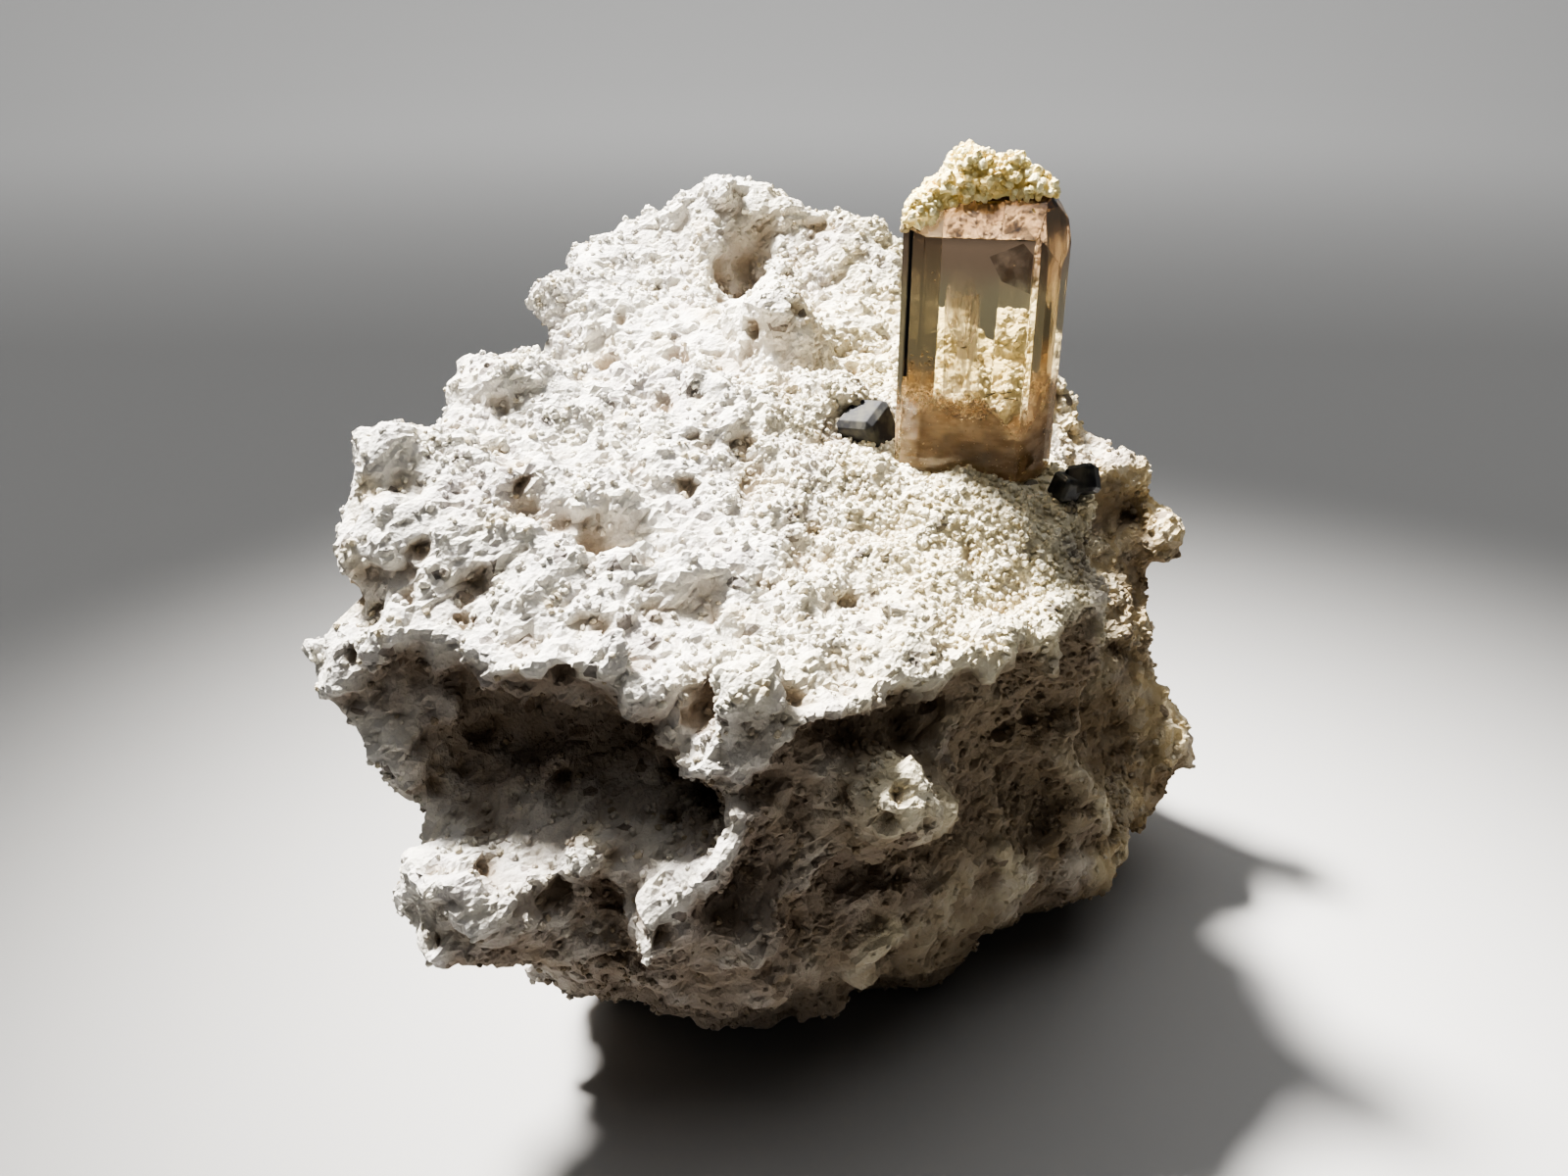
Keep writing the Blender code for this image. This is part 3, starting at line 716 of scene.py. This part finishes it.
places, normals = corners_of(stone)
sugary = 1 - smooth_rise(np.linalg.norm(places - np.array(TOPAZ_FOOT), axis=1), *SUGARY_REACH)
patches = np.array([noise.noise(Vector(place) / PATCH_SIZE) for place in places])
clear = above_foot(places) * ~inside_topaz(places)
coverage = clear * np.maximum(sugary, THIN_COVER + PATCH_COVER * smooth_rise(patches, 0.0, 0.5))
facing = {
    "top": normals[:, 2] > TOP_FACING,
    "front": (normals[:, 2] <= TOP_FACING) & (normals[:, 1] < FRONT_FACING),
}
facing["back"] = ~facing["top"] & ~facing["front"]
for side, mask in facing.items():
    note_on_corners(stone, side, coverage * mask)
fine_kinds = angular_grains("grain_kind", 1, seed=4)
grains = [
    scatter(f"grains_{side}", stone, fine_kinds, side, per_mm2, seed=seed, **GRAINS)
    for side, (per_mm2, seed) in SIDES.items()
]

# %% [markdown]
# ## The topaz
#
# A topaz is a prism with a handful of faces, so the solid's shape is right as it is. The edges of
# a real one are a hair's breadth blunt and catch the light as thin bright lines. A bmesh bevel of
# two segments makes them. They could be left sharp, but no real edge is.

# %% Topaz
EDGE_WIDTH = 0.035
# Triangles within this angle of each other are one flat face.
FLAT_ANGLE = math.radians(0.5)
REFRACTION = 1.62


def blunt_crystal(name, node, width, segments):
    """A solid's crystal, with whole faces, and edges that are so many millimetres blunt."""
    bm = merged_copy(node)
    bmesh.ops.dissolve_limit(bm, angle_limit=FLAT_ANGLE, verts=bm.verts, edges=bm.edges)
    shape = {"affect": "EDGES", "segments": segments, "profile": 0.5, "material": -1}
    bmesh.ops.bevel(bm, geom=bm.edges[:], offset=width * MM, **shape)
    return add_piece(name, bm)


topaz = blunt_crystal("topaz_crystal", "topaz", EDGE_WIDTH, 2)
topaz_skin = skin_of(topaz)
print("topaz:", len(topaz.data.polygons), "faces")

# %% [markdown]
# What makes this topaz look real is inside it. Its root is cloudy with countless tiny flaws, then
# comes a clear band with a pointed growth tube, a faint veil and a few dark needles, and the upper
# part is smoky. These are thin pieces inside the clear body. A thick fog would do for the cloud,
# but nested see-through skins with flecks on them are quicker to render and are kept by the
# export. The front face bends the eye's line of sight, so a place is found along the bent ray.

# %% Inside the topaz
CLOUD_TOP = 30.0
CLOUD_ROOT = 22.6
CLOUD_CELL = 0.16
# Each skin of the cloud: how far it lies within the faces.
CLOUD_SKINS = (0.25, 0.95)
CLOUD_DIP = 0.4
# The noises of the cloud's ragged top: the level, fineness and height of each.
RAGGED = ((3, 1.1, 0.5), (9, 3.5, 0.3))
TONGUE_PLACE, TONGUE_WIDTH, TONGUE_DEPTH = 8.3, 0.8, 1.3
RIGHT_FACE, RIGHT_RISE = (9.0, 10.0), 1.1
FLECKS_FROM = (24.5, 26.0)
FLECKS = {"per_mm2": 9.0, "widths": (0.04, 0.11), "sunk": 0.1, "seed": 50}


def inside_crystal(column, row, depth):
    """The place that a pixel shows so many millimetres behind the crystal's face."""
    sight = ray_through(column, row)
    spot, normal, _, _ = topaz_skin.ray_cast(CAMERA_PLACE, sight)
    ratio = 1 / REFRACTION
    slant = -normal.dot(sight)
    along_normal = ratio * slant - math.sqrt(1 - ratio * ratio * (1 - slant * slant))
    return spot / MM + (sight * ratio + normal * along_normal) * depth


def cloud_top(x, y):
    """The cloud's ragged upper limit: a clear tongue dips into it, and it rises at the right."""
    ragged = sum(noise.noise(Vector((x, y, level)) * fine) * high for level, fine, high in RAGGED)
    tongue = TONGUE_DEPTH * math.exp(-(((x - TONGUE_PLACE) / TONGUE_WIDTH) ** 2))
    rise = RIGHT_RISE * smooth_rise(x, *RIGHT_FACE)
    return CLOUD_TOP - CLOUD_DIP + ragged - tongue + rise


def cloud_skin(inset):
    """One skin of the cloud: the prism's root, so much thinner, with a ragged top."""
    bm = merged_copy("topaz")
    plane = {"plane_co": (0, 0, CLOUD_TOP * MM), "plane_no": (0, 0, 1), "clear_outer": True}
    cut = bmesh.ops.bisect_plane(bm, geom=bm.verts[:] + bm.edges[:] + bm.faces[:], **plane)
    rim = [item for item in cut["geom_cut"] if isinstance(item, bmesh.types.BMEdge)]
    bmesh.ops.contextual_create(bm, geom=rim)
    skin = add_piece("cloud_skin", bm)
    lay_net(skin, CLOUD_CELL)
    places, normals = corners_of(skin)
    places = smoothed(skin, places - normals * inset, 2)
    for place in places:
        share = (place[2] - CLOUD_ROOT) / (CLOUD_TOP - inset - CLOUD_ROOT)
        place[2] += share**2 * (cloud_top(place[0], place[1]) - CLOUD_TOP)
    move_corners(skin, places)
    return skin


cloud = cloud_skin(CLOUD_SKINS[0])
for inset in CLOUD_SKINS[1:]:
    add_mesh(cloud, cloud_skin(inset))
cloud.name = "root_cloud"
places, _ = corners_of(cloud)
note_on_corners(cloud, "over the root", smooth_rise(places[:, 2], *FLECKS_FROM))
flake_kinds = angular_grains("flake_kind", 1, seed=6)
flecks = scatter("root_flecks", cloud, flake_kinds, "over the root", **FLECKS)
print("cloud:", len(cloud.data.polygons), "faces")

# %% [markdown]
# Three kinds of small flaws lie in the clear part. The needles are hairs of a dark mineral, the
# glints are tiny cracks whose flash is a painted highlight, and the growth tube is a pointed
# channel, left where the crystal grew too fast. Each is a double-pointed rod. Painted marks on the
# faces would be simpler, but they would stay on the skin when the crystal turns, and real flaws
# move against it.

# %% Veils and needles
# Rods: the pixels from which each runs to which, its depth behind the face and its width.
TUBE = ((979, 268), (984, 357), 1.3, 1.45)
NEEDLES = (
    ((1003, 406), (1016, 401), 0.9, 0.035),
    ((1006, 403), (1020, 400), 1.2, 0.03),
    ((1020, 402), (1033, 400), 0.7, 0.04),
    ((1024, 406), (1040, 409), 1.0, 0.04),
    ((1012, 409), (1022, 406), 1.4, 0.03),
    ((1035, 398), (1044, 400), 0.8, 0.03),
    ((980, 355), (987, 354), 1.3, 0.07),
)
# Glints, white flakes that paint a highlight: the pixel of each and its width. All lie at one
# depth, and are flat.
GLINT_DEPTH, GLINT_FLATNESS = 0.35, 0.4
GLINTS = (
    (981, 425, 0.13), (985, 424, 0.15), (992, 426, 0.13), (998, 427, 0.2), (1001, 426, 0.15),
    (1049, 440, 0.1), (1060, 441, 0.12), (1043, 452, 0.12), (1066, 433, 0.1), (978, 463, 0.12),
    (984, 464, 0.1), (1037, 447, 0.1), (952, 278, 0.1), (954, 286, 0.1), (1035, 271, 0.1),
    (1042, 272, 0.08), (983, 347, 0.12), (979, 343, 0.1), (962, 438, 0.08), (1012, 446, 0.08),
)


def spindle(bm, start, end, width):
    """A thin double-pointed rod from one place to another."""
    along = end - start
    turn = along.to_track_quat("Z", "Y").to_matrix().to_4x4()
    size = Matrix.Diagonal((width / 2, width / 2, along.length / 2, 1))
    where = Matrix.Translation((start + end) / 2 * MM) @ turn @ Matrix.Scale(MM, 4) @ size
    bmesh.ops.create_icosphere(bm, subdivisions=2, radius=1, matrix=where)


def add_rods(name, rods):
    """One piece that holds all the rods of a list."""
    bm = bmesh.new()
    for start, end, depth, width in rods:
        spindle(bm, inside_crystal(*start, depth), inside_crystal(*end, depth), width)
    return add_piece(name, bm)


needles = add_rods("dark_needles", NEEDLES)
bm = bmesh.new()
for column, row, width in GLINTS:
    middle = inside_crystal(column, row, GLINT_DEPTH)
    half = Vector((width / 2, 0, 0))
    spindle(bm, middle - half, middle + half, width * GLINT_FLATNESS)
painted_glints = add_piece("bright_flaws", bm)
tube = add_rods("growth_tube", [TUBE])
print("needles", len(NEEDLES), "painted_glints", len(GLINTS))

# %% [markdown]
# A veil is a healed crack: a sheet of bubbles too small to see one by one. A thin closed slab with
# a wispy, see-through finish looks the same. A dark one at the top is a painted dark reflection:
# it stands for the dark surroundings seen through the tip.

# %% Veil sheets
# Each veil: the pixels of its corners and its depth behind the face.
VEILS = {
    "growth_veil": (((964, 306), (1000, 300), (999, 400), (962, 402)), 1.6),
    "smoky_veil": (((1010, 262), (1046, 231), (1056, 244), (1051, 300), (1022, 287)), 2.2),
}
VEIL_THICKNESS = 0.04

veils = {}
for name, (corners, depth) in VEILS.items():
    bm = bmesh.new()
    verts = [bm.verts.new(inside_crystal(*corner, depth) * MM) for corner in corners]
    bmesh.ops.contextual_create(bm, geom=verts)
    bmesh.ops.solidify(bm, geom=bm.faces[:], thickness=VEIL_THICKNESS * MM)
    bmesh.ops.recalc_face_normals(bm, faces=bm.faces)
    veils[name] = add_piece(name, bm)
print("veils", ", ".join(veils))

# %% [markdown]
# ## The crust
#
# The tip is capped by a granular yellow crust that hangs a little over the edge of the sloping
# front face. The solid gives its body. More lumps are set where the photograph shows its hanging
# edge, one net joins them all, and what lies close to the crystal is drawn onto it, so that it
# doesn't float. Rounded grains then cover it.

# %% Crust
CRUST_CELL = 0.11
# The hanging edge: the pixel of each lump and its half-width.
CRUST_EDGE = (
    (928, 228, 0.26), (932, 218, 0.32), (940, 211, 0.34), (948, 205, 0.34), (957, 199, 0.32),
    (967, 196, 0.30), (978, 192, 0.32), (990, 190, 0.34), (1002, 191, 0.32), (1013, 193, 0.34),
    (1024, 196, 0.30), (1036, 197, 0.30), (1048, 196, 0.32), (1060, 195, 0.30), (1071, 197, 0.30),
    (1080, 202, 0.24), (985, 184, 0.4), (1005, 184, 0.42), (1028, 188, 0.42), (1050, 188, 0.42),
    (1066, 190, 0.36), (962, 190, 0.36), (947, 197, 0.32),
)
# Lumps that fill the crust's middle and right: middle and half-width.
CRUST_LUMPS = (
    ((8.0, -1.6, 38.6), 0.8), ((8.9, -1.5, 38.2), 0.62), ((6.6, -1.8, 38.9), 0.8),
    ((5.2, -1.8, 38.6), 0.75), ((7.4, -0.8, 38.7), 0.8), ((4.1, -2.0, 37.9), 0.6),
)
# Small bits of crust lower on the face.
CRUST_BITS = (
    (953, 218, 0.1), (959, 215, 0.12), (963, 210, 0.12), (1024, 212, 0.11), (1026, 218, 0.12),
    (1053, 213, 0.1), (1056, 216, 0.1), (1018, 204, 0.12), (1040, 207, 0.12), (948, 222, 0.08),
)

# How far an edge lump's middle stands off the face, as a share of its half-width.
STAND_OFF = 0.3
# Crust that is so near the crystal, and in it or turned to it, is drawn onto it and sunk in.
CLING, TURNED_IN, SUNK_IN = 0.5, -0.2, 0.05
GRAIN_START = 0.03
CRUST_GRAINS = {"per_mm2": 20.0, "widths": (0.22, 0.52), "sunk": 0.38, "seed": 60}


def over_topaz(place):
    """How far a place is outside the topaz, and the nearest spot, its normal and distance."""
    spot, normal, _, distance = topaz_skin.find_nearest(Vector(place) * MM)
    return (Vector(place) * MM - spot).dot(normal), spot, normal, distance


bm = merged_copy("topaz_crust")
for column, row, half in CRUST_EDGE + CRUST_BITS:
    spot, normal, _, _ = topaz_skin.ray_cast(CAMERA_PLACE, ray_through(column, row))
    if spot is not None:
        where = Matrix.Translation(spot + normal * half * STAND_OFF * MM)
        bmesh.ops.create_icosphere(bm, subdivisions=2, radius=half * MM, matrix=where)
for middle, half in CRUST_LUMPS:
    where = Matrix.Translation(Vector(middle) * MM)
    bmesh.ops.create_icosphere(bm, subdivisions=3, radius=half * MM, matrix=where)
crust = add_piece("crust", bm)
lay_net(crust, CRUST_CELL)
places, normals = corners_of(crust)
for number, place in enumerate(places):
    out, spot, normal, distance = over_topaz(place)
    turned_in = normals[number] @ np.array(normal) < TURNED_IN
    if distance < CLING * MM and (out <= 0 or turned_in):
        places[number] = np.array(spot - normal * SUNK_IN * MM) / MM
move_corners(crust, places)
lay_net(crust, CRUST_CELL)
places, _ = corners_of(crust)
outside = [over_topaz(place)[0] > GRAIN_START * MM for place in places]
note_on_corners(crust, "outside", np.array(outside))
crust_kinds = angular_grains("crust_kind", 2, seed=8)
crust_grains = scatter("crust_grains", crust, crust_kinds, "outside", **CRUST_GRAINS)
crust.data.shade_flat()
print("crust:", len(crust.data.polygons), "faces")

# %% [markdown]
# ## The bixbyites
#
# Bixbyite grows as cubes with their edges cut off, so the solids have the right shape. A very
# small bevel gives the faces the bright rims of real crystals.

# %% Bixbyite
RIM_WIDTH = 0.03

bixbyites = [
    blunt_crystal(node + "_crystal", node, RIM_WIDTH, 1)
    for node in ("bixbyite_left", "bixbyite_right")
]
print("bixbyites:", [len(piece.data.polygons) for piece in bixbyites])

# %% [markdown]
# ## Finishes
#
# Rhyolite is chalky and rough all over. What varies is its colour: whitest on the left, creamy in
# the middle and ochre on the right flank, with grey-lilac patches and dark specks. Hollows are
# darker, with dust and painted shade, and where the sky towards the light is hidden, a brown stain
# and painted shade are laid together. The grains have the same colours, and each is a little
# lighter, darker or browner than the next.

# %% Stone finish
CHALK = (0.605, 0.585, 0.55)
CREAM = (0.64, 0.58, 0.425)
OCHRE = (0.62, 0.49, 0.28)
RUST = (0.60, 0.50, 0.33)
LILAC = (0.49, 0.455, 0.445)
PALE_CELL = (0.75, 0.72, 0.62)
DARK_SPECK = (0.13, 0.11, 0.10)
# Dust and painted shade in the hollows.
DUST_AND_SHADE = (0.36, 0.29, 0.21)
LIGHT_GRAIN = (0.79, 0.76, 0.65)
BROWN_GRAIN = (0.44, 0.37, 0.24)
# A brown stain and painted shade, where the sky towards the light is hidden.
STAIN_AND_SHADE = (0.17, 0.12, 0.08)


def stone_finish(name, grains):
    """The stone's finish, or that of its grains, which have tints of their own."""
    finish = Finish(name, {"Specular IOR Level": 0.2, "Roughness": 0.9})
    right = finish.along("X")
    patch = finish.noise(6, 3)
    warm = (right + patch * 16).rise(2, 14)
    ochre = (right + finish.noise(3, 4) * 18).rise(20, 27)
    colour = warm.mix(CHALK, CREAM)
    colour = (ochre * 0.8).mix(colour, OCHRE)
    colour = finish.noise(2.6, 4).rise(0.56, 0.72, 0.5).mix(colour, RUST)
    lilac = finish.noise(3.8, 4, place=finish.moved(40)).rise(0.53, 0.68, 0.6)
    colour = lilac.mix(colour, LILAC)
    cell = finish.cells(0.55, "Color")
    shade = finish.add("ShaderNodeSeparateColor", sockets={0: cell}, output=0)
    colour = shade.rise(0.3, 1.0, 0.4).mix(colour, PALE_CELL)
    colour = (1 - shade).rise(0.965, 0.985, 0.75).mix(colour, DARK_SPECK)
    # Hollows darkened: dust and painted shade.
    colour = finish.attribute("hollow").rise(0.05, 0.5, 0.6).mix(colour, DUST_AND_SHADE)
    if grains:
        tint = finish.attribute("tint")
        colour = tint.rise(0.5, 1.0, 0.55).mix(colour, LIGHT_GRAIN)
        colour = (1 - tint).rise(0.72, 1.0, 0.65).mix(colour, BROWN_GRAIN)
    # Painted shade with a brown stain, where the stone hides the sky towards the light.
    stain_and_shade = finish.attribute("stain_and_shade") + finish.noise(1.5, 3) * 0.3
    colour = stain_and_shade.rise(0.5, 1.0, 0.8).mix(colour, STAIN_AND_SHADE)
    relief = finish.noise(0.16, 4) + finish.cells(0.2) * 0.5
    finish.give({"Base Color": colour, "Normal": finish.bump(relief, 0.08)})
    return finish


stone_skin = stone_finish("rhyolite", False)
grain_skin = stone_finish("rhyolite_grains", True)
print("stone finishes are ready")

# %% [markdown]
# The topaz is see-through: plain transmission, the mineral's own index of refraction, and a body
# that absorbs more blue than red, so that thick parts are deeper in colour. It turns golden in the
# middle and smoky towards the tip, and its colour is painted dark under the crust, as painted
# shade. The faces have very fine upright growth lines.

# %% Topaz finish
ROOT_TINGE = (0.95, 0.89, 0.76)
GOLD_TINGE = (0.90, 0.82, 0.57)
SMOKY_TINGE = (0.72, 0.55, 0.42)
CROWN_SHADE = (0.13, 0.085, 0.06)

sherry = Finish("sherry", {"Transmission Weight": 1.0, "IOR": REFRACTION, "Roughness": 0.02})
height = sherry.along("Z")
cloudy = sherry.noise(1.5, 2)
tinge = (height + cloudy).rise(29.0, 31.5).mix(ROOT_TINGE, GOLD_TINGE)
tinge = (height + cloudy * 1.4).rise(34.6, 36.2).mix(tinge, SMOKY_TINGE)
# Painted shade: the tip under the crust is coloured dark.
tinge = height.rise(36.3, 37.0).mix(tinge, CROWN_SHADE)
lines = sherry.noise(0.5, 2, place=sherry.stretched(0.03))
sherry.give({"Base Color": tinge, "Normal": sherry.bump(lines, 0.008, 0.3)})
swallowed = {"Color": (0.90, 0.77, 0.52), "Density": 78.0}
depth = sherry.add("ShaderNodeVolumeAbsorption", sockets=swallowed)
sherry.put(sherry.nodes.nodes["Material Output"].inputs["Volume"], depth)
print("sherry finish is ready")

# %% [markdown]
# The flaws need finishes of their own. The cloud and the veils are see-through in wisps, so that
# the light passes between them, and the cloud thins out upwards. Flecks, needles and glints are
# solid, and the glints' white is a painted highlight. They vary a little, for nothing grown in a
# crystal is one flat colour.

# %% Finishes inside the topaz
haze = Finish("root_haze", {"Roughness": 0.6, "Specular IOR Level": 0.0})
layers = haze.noise(0.9, 4, place=haze.stretched(2.6))
colour = layers.rise(0.35, 0.65).mix((0.48, 0.36, 0.24), (0.78, 0.64, 0.48))
top = 1 - (haze.along("Z") + haze.noise(0.7, 4) * 2.4).rise(29.6, 31.2)
wisps = haze.noise(1.1, 4).rise(0.25, 0.75) * 0.45 + 0.4
haze.give({"Base Color": colour, "Alpha": top * wisps})

fleck = Finish("flecks", {"Roughness": 0.4})
colour = fleck.attribute("tint").rise(0.2, 1.0).mix((0.44, 0.33, 0.21), (0.94, 0.86, 0.70))
fleck.give({"Base Color": colour})

needle = Finish("needles", {"Roughness": 0.5})
colour = needle.noise(0.2, 3).rise(0.4, 0.7).mix((0.02, 0.015, 0.01), (0.09, 0.07, 0.05))
needle.give({"Base Color": colour})

# Painted highlight: the glints are white, for the flash of tiny cracks.
painted_glint = Finish("painted_glints", {"Roughness": 0.2})
colour = painted_glint.noise(0.1, 2).rise(0.3, 0.7).mix((1.0, 0.97, 0.9), (1.0, 0.88, 0.7))
painted_glint.give({"Base Color": colour})

veil = Finish("veils", {"Roughness": 0.5, "Specular IOR Level": 0.0})
wisp = veil.noise(0.3, 4, place=veil.stretched(0.12))
fade = 1 - veil.along("Z").rise(33.6, 35.2)
colour = wisp.rise(0.4, 0.6).mix((0.86, 0.76, 0.64), (0.99, 0.95, 0.88))
veil.give({"Base Color": colour, "Alpha": (wisp.rise(0.4, 0.65) * 0.6 + 0.12) * fade})

# Painted dark reflection: a wispy dark sheet for the dark surroundings seen through the tip.
dark_reflection_paint = Finish("dark_reflection_paint", {"Roughness": 0.6, "Specular IOR Level": 0.0})
wisp = dark_reflection_paint.noise(1.0, 4)
colour = wisp.rise(0.4, 0.6).mix((0.08, 0.06, 0.045), (0.22, 0.15, 0.10))
dark_reflection_paint.give({"Base Color": colour, "Alpha": wisp.rise(0.3, 0.65) * 0.5})
print("finishes inside the topaz are ready")

# %% [markdown]
# The crust is a dull, pale yellow, browner between its grains, and painted dark brown where it
# touches the crystal, as painted shade on its underside, which is what the eye meets through the
# topaz. Bixbyite is black with a metallic gleam, and its stepped, slightly dull faces mirror the
# light in patches. The left one is dusty.

# %% Crust and bixbyite finishes
STRAW, PALE_YELLOW = (0.90, 0.71, 0.30), (0.97, 0.86, 0.48)
BRIGHT_GRAIN, TAN_GRAIN = (0.99, 0.93, 0.62), (0.62, 0.47, 0.20)
CONTACT_SHADE = (0.22, 0.15, 0.10)


def crust_finish(name, grains):
    """The crust's finish, or that of its grains, which have tints of their own."""
    finish = Finish(name, {"Roughness": 0.8})
    colour = finish.noise(0.8, 3).rise(0.35, 0.65).mix(STRAW, PALE_YELLOW)
    if grains:
        tint = finish.attribute("tint")
        colour = tint.rise(0.4, 1.0, 0.8).mix(colour, BRIGHT_GRAIN)
        colour = (1 - tint).rise(0.85, 1.0, 0.6).mix(colour, TAN_GRAIN)
    # Painted shade: dark brown where the crust touches the crystal, on its shaded underside.
    colour = finish.attribute("outside").mix(CONTACT_SHADE, colour)
    finish.give({"Base Color": colour, "Normal": finish.bump(finish.noise(0.1, 3), 0.05)})
    return finish


yellow = crust_finish("yellow_crust", False)
yellow_grains = crust_finish("yellow_crust_grains", True)

black = Finish("bixbyite", {"IOR": 1.8, "Metallic": 0.1, "Specular IOR Level": 0.25})
steps = black.noise(0.6, 4)
colour = steps.rise(0.4, 0.65).mix((0.02, 0.02, 0.022), (0.075, 0.072, 0.06))
dusty = 1 - black.along("X").rise(4, 8)
black.give({
    "Base Color": colour,
    "Roughness": steps.rise(0.3, 0.8) * 0.2 + dusty * 0.28 + 0.42,
    "Normal": black.bump(steps, 0.012),
})
print("crust and bixbyite finishes are ready")

# %% [markdown]
# ## Putting it together
#
# Nothing moves on a specimen, so every piece rides on the one body. The stone, the topaz, the
# crust and the bixbyites stand for their solids, and the grains and flaws are additions.

# %% Assembly
# Each slot's pieces: the piece, its finish, and the node that it stands for, if any.
SLOTS = {
    "rhyolite": [(stone, stone_skin, "matrix"), *((piece, grain_skin) for piece in grains)],
    "sherry_topaz": [
        (topaz, sherry, "topaz"),
        (cloud, haze),
        (flecks, fleck),
        (needles, needle),
        (painted_glints, painted_glint),
        (tube, veil),
        (veils["growth_veil"], veil),
        (veils["smoky_veil"], dark_reflection_paint),
    ],
    "yellow_crust": [(crust, yellow, "topaz_crust"), (crust_grains, yellow_grains)],
    "black_bixbyite": [
        (bixbyites[0], black, "bixbyite_left"),
        (bixbyites[1], black, "bixbyite_right"),
    ],
}

for slot_name, rows in SLOTS.items():
    for piece, finish, *nodes in rows:
        piece.data.materials.clear()
        piece.data.materials.append(finish.material)
        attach(piece, "root")
        if nodes:
            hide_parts(*nodes)
print("the pieces ride on the root")

# %% [markdown]
# ## The studio
#
# A pale floor that curves up into a wall far behind, so that no edge shows. The key light is a
# small softbox high up, behind and to the left, as in the photograph: it lights the top, leaves
# the recess under the rim in shade, and shines through the topaz towards the camera. A grid keeps
# it in a narrow beam, so that the floor throws little of it back. A broad, weak light overhead
# fills the shadows, and another lights the wall.

# %% Studio
FLAT_RADIUS = 0.5
WALL_RADIUS = 0.7
WALL_STEPS = 12
WALL_TURN = math.radians(85)
FLOOR_SIDES = 96
SKY_COLOUR, SKY_STRENGTH = (0.85, 0.88, 0.92, 1), 0.03

bm = bmesh.new()
profile = [bm.verts.new((0, 0, 0))]
for step in range(WALL_STEPS + 1):
    angle = WALL_TURN * step / WALL_STEPS
    out = FLAT_RADIUS + WALL_RADIUS * math.sin(angle)
    profile.append(bm.verts.new((out, 0, WALL_RADIUS * (1 - math.cos(angle)))))
edges = [bm.edges.new(pair) for pair in zip(profile, profile[1:])]
turn = {"axis": (0, 0, 1), "angle": math.tau, "steps": FLOOR_SIDES, "use_merge": True}
bmesh.ops.spin(bm, geom=profile + edges, **turn)
bmesh.ops.remove_doubles(bm, verts=bm.verts, dist=WELD)
bmesh.ops.recalc_face_normals(bm, faces=bm.faces)
floor = add_piece("floor", bm)
floor.data.shade_smooth()
pale = Finish("pale_floor", {"Base Color": (0.37, 0.367, 0.362), "Roughness": 0.8})
floor.data.materials.append(pale.material)


def soft_light(name, place, width, power, colour=(1, 1, 1), target=(0, 0, 0.022), spread=180):
    """A square softbox, turned towards a place, with a grid that keeps its light in a beam."""
    data = bpy.data.lights.new(name, "AREA")
    data.size = width
    data.energy = power
    data.color = colour
    data.spread = math.radians(spread)
    lamp = add_object(name, data)
    lamp.location = place
    lamp.rotation_euler = (Vector(target) - lamp.location).to_track_quat("-Z", "Y").to_euler()


soft_light("key_light", (-0.125, 0.1, 0.3), 0.05, 0.11, (1.0, 0.97, 0.93), (0, 0, 0.025), 20)
soft_light("overhead_light", (0.0, 0.25, 1.2), 1.6, 9.5)
soft_light("backdrop_light", (0.0, 0.35, 0.5), 0.5, 3.0, target=(0, 1.1, 0.15))
world = bpy.data.worlds.new("studio")
world.use_nodes = True
sky = world.node_tree.nodes["Background"].inputs
sky["Color"].default_value = SKY_COLOUR
sky["Strength"].default_value = SKY_STRENGTH
bpy.context.scene.world = world
bpy.context.scene.view_settings.look = "AgX - High Contrast"
print("lights:", ", ".join(lamp.name for lamp in bpy.data.lights))
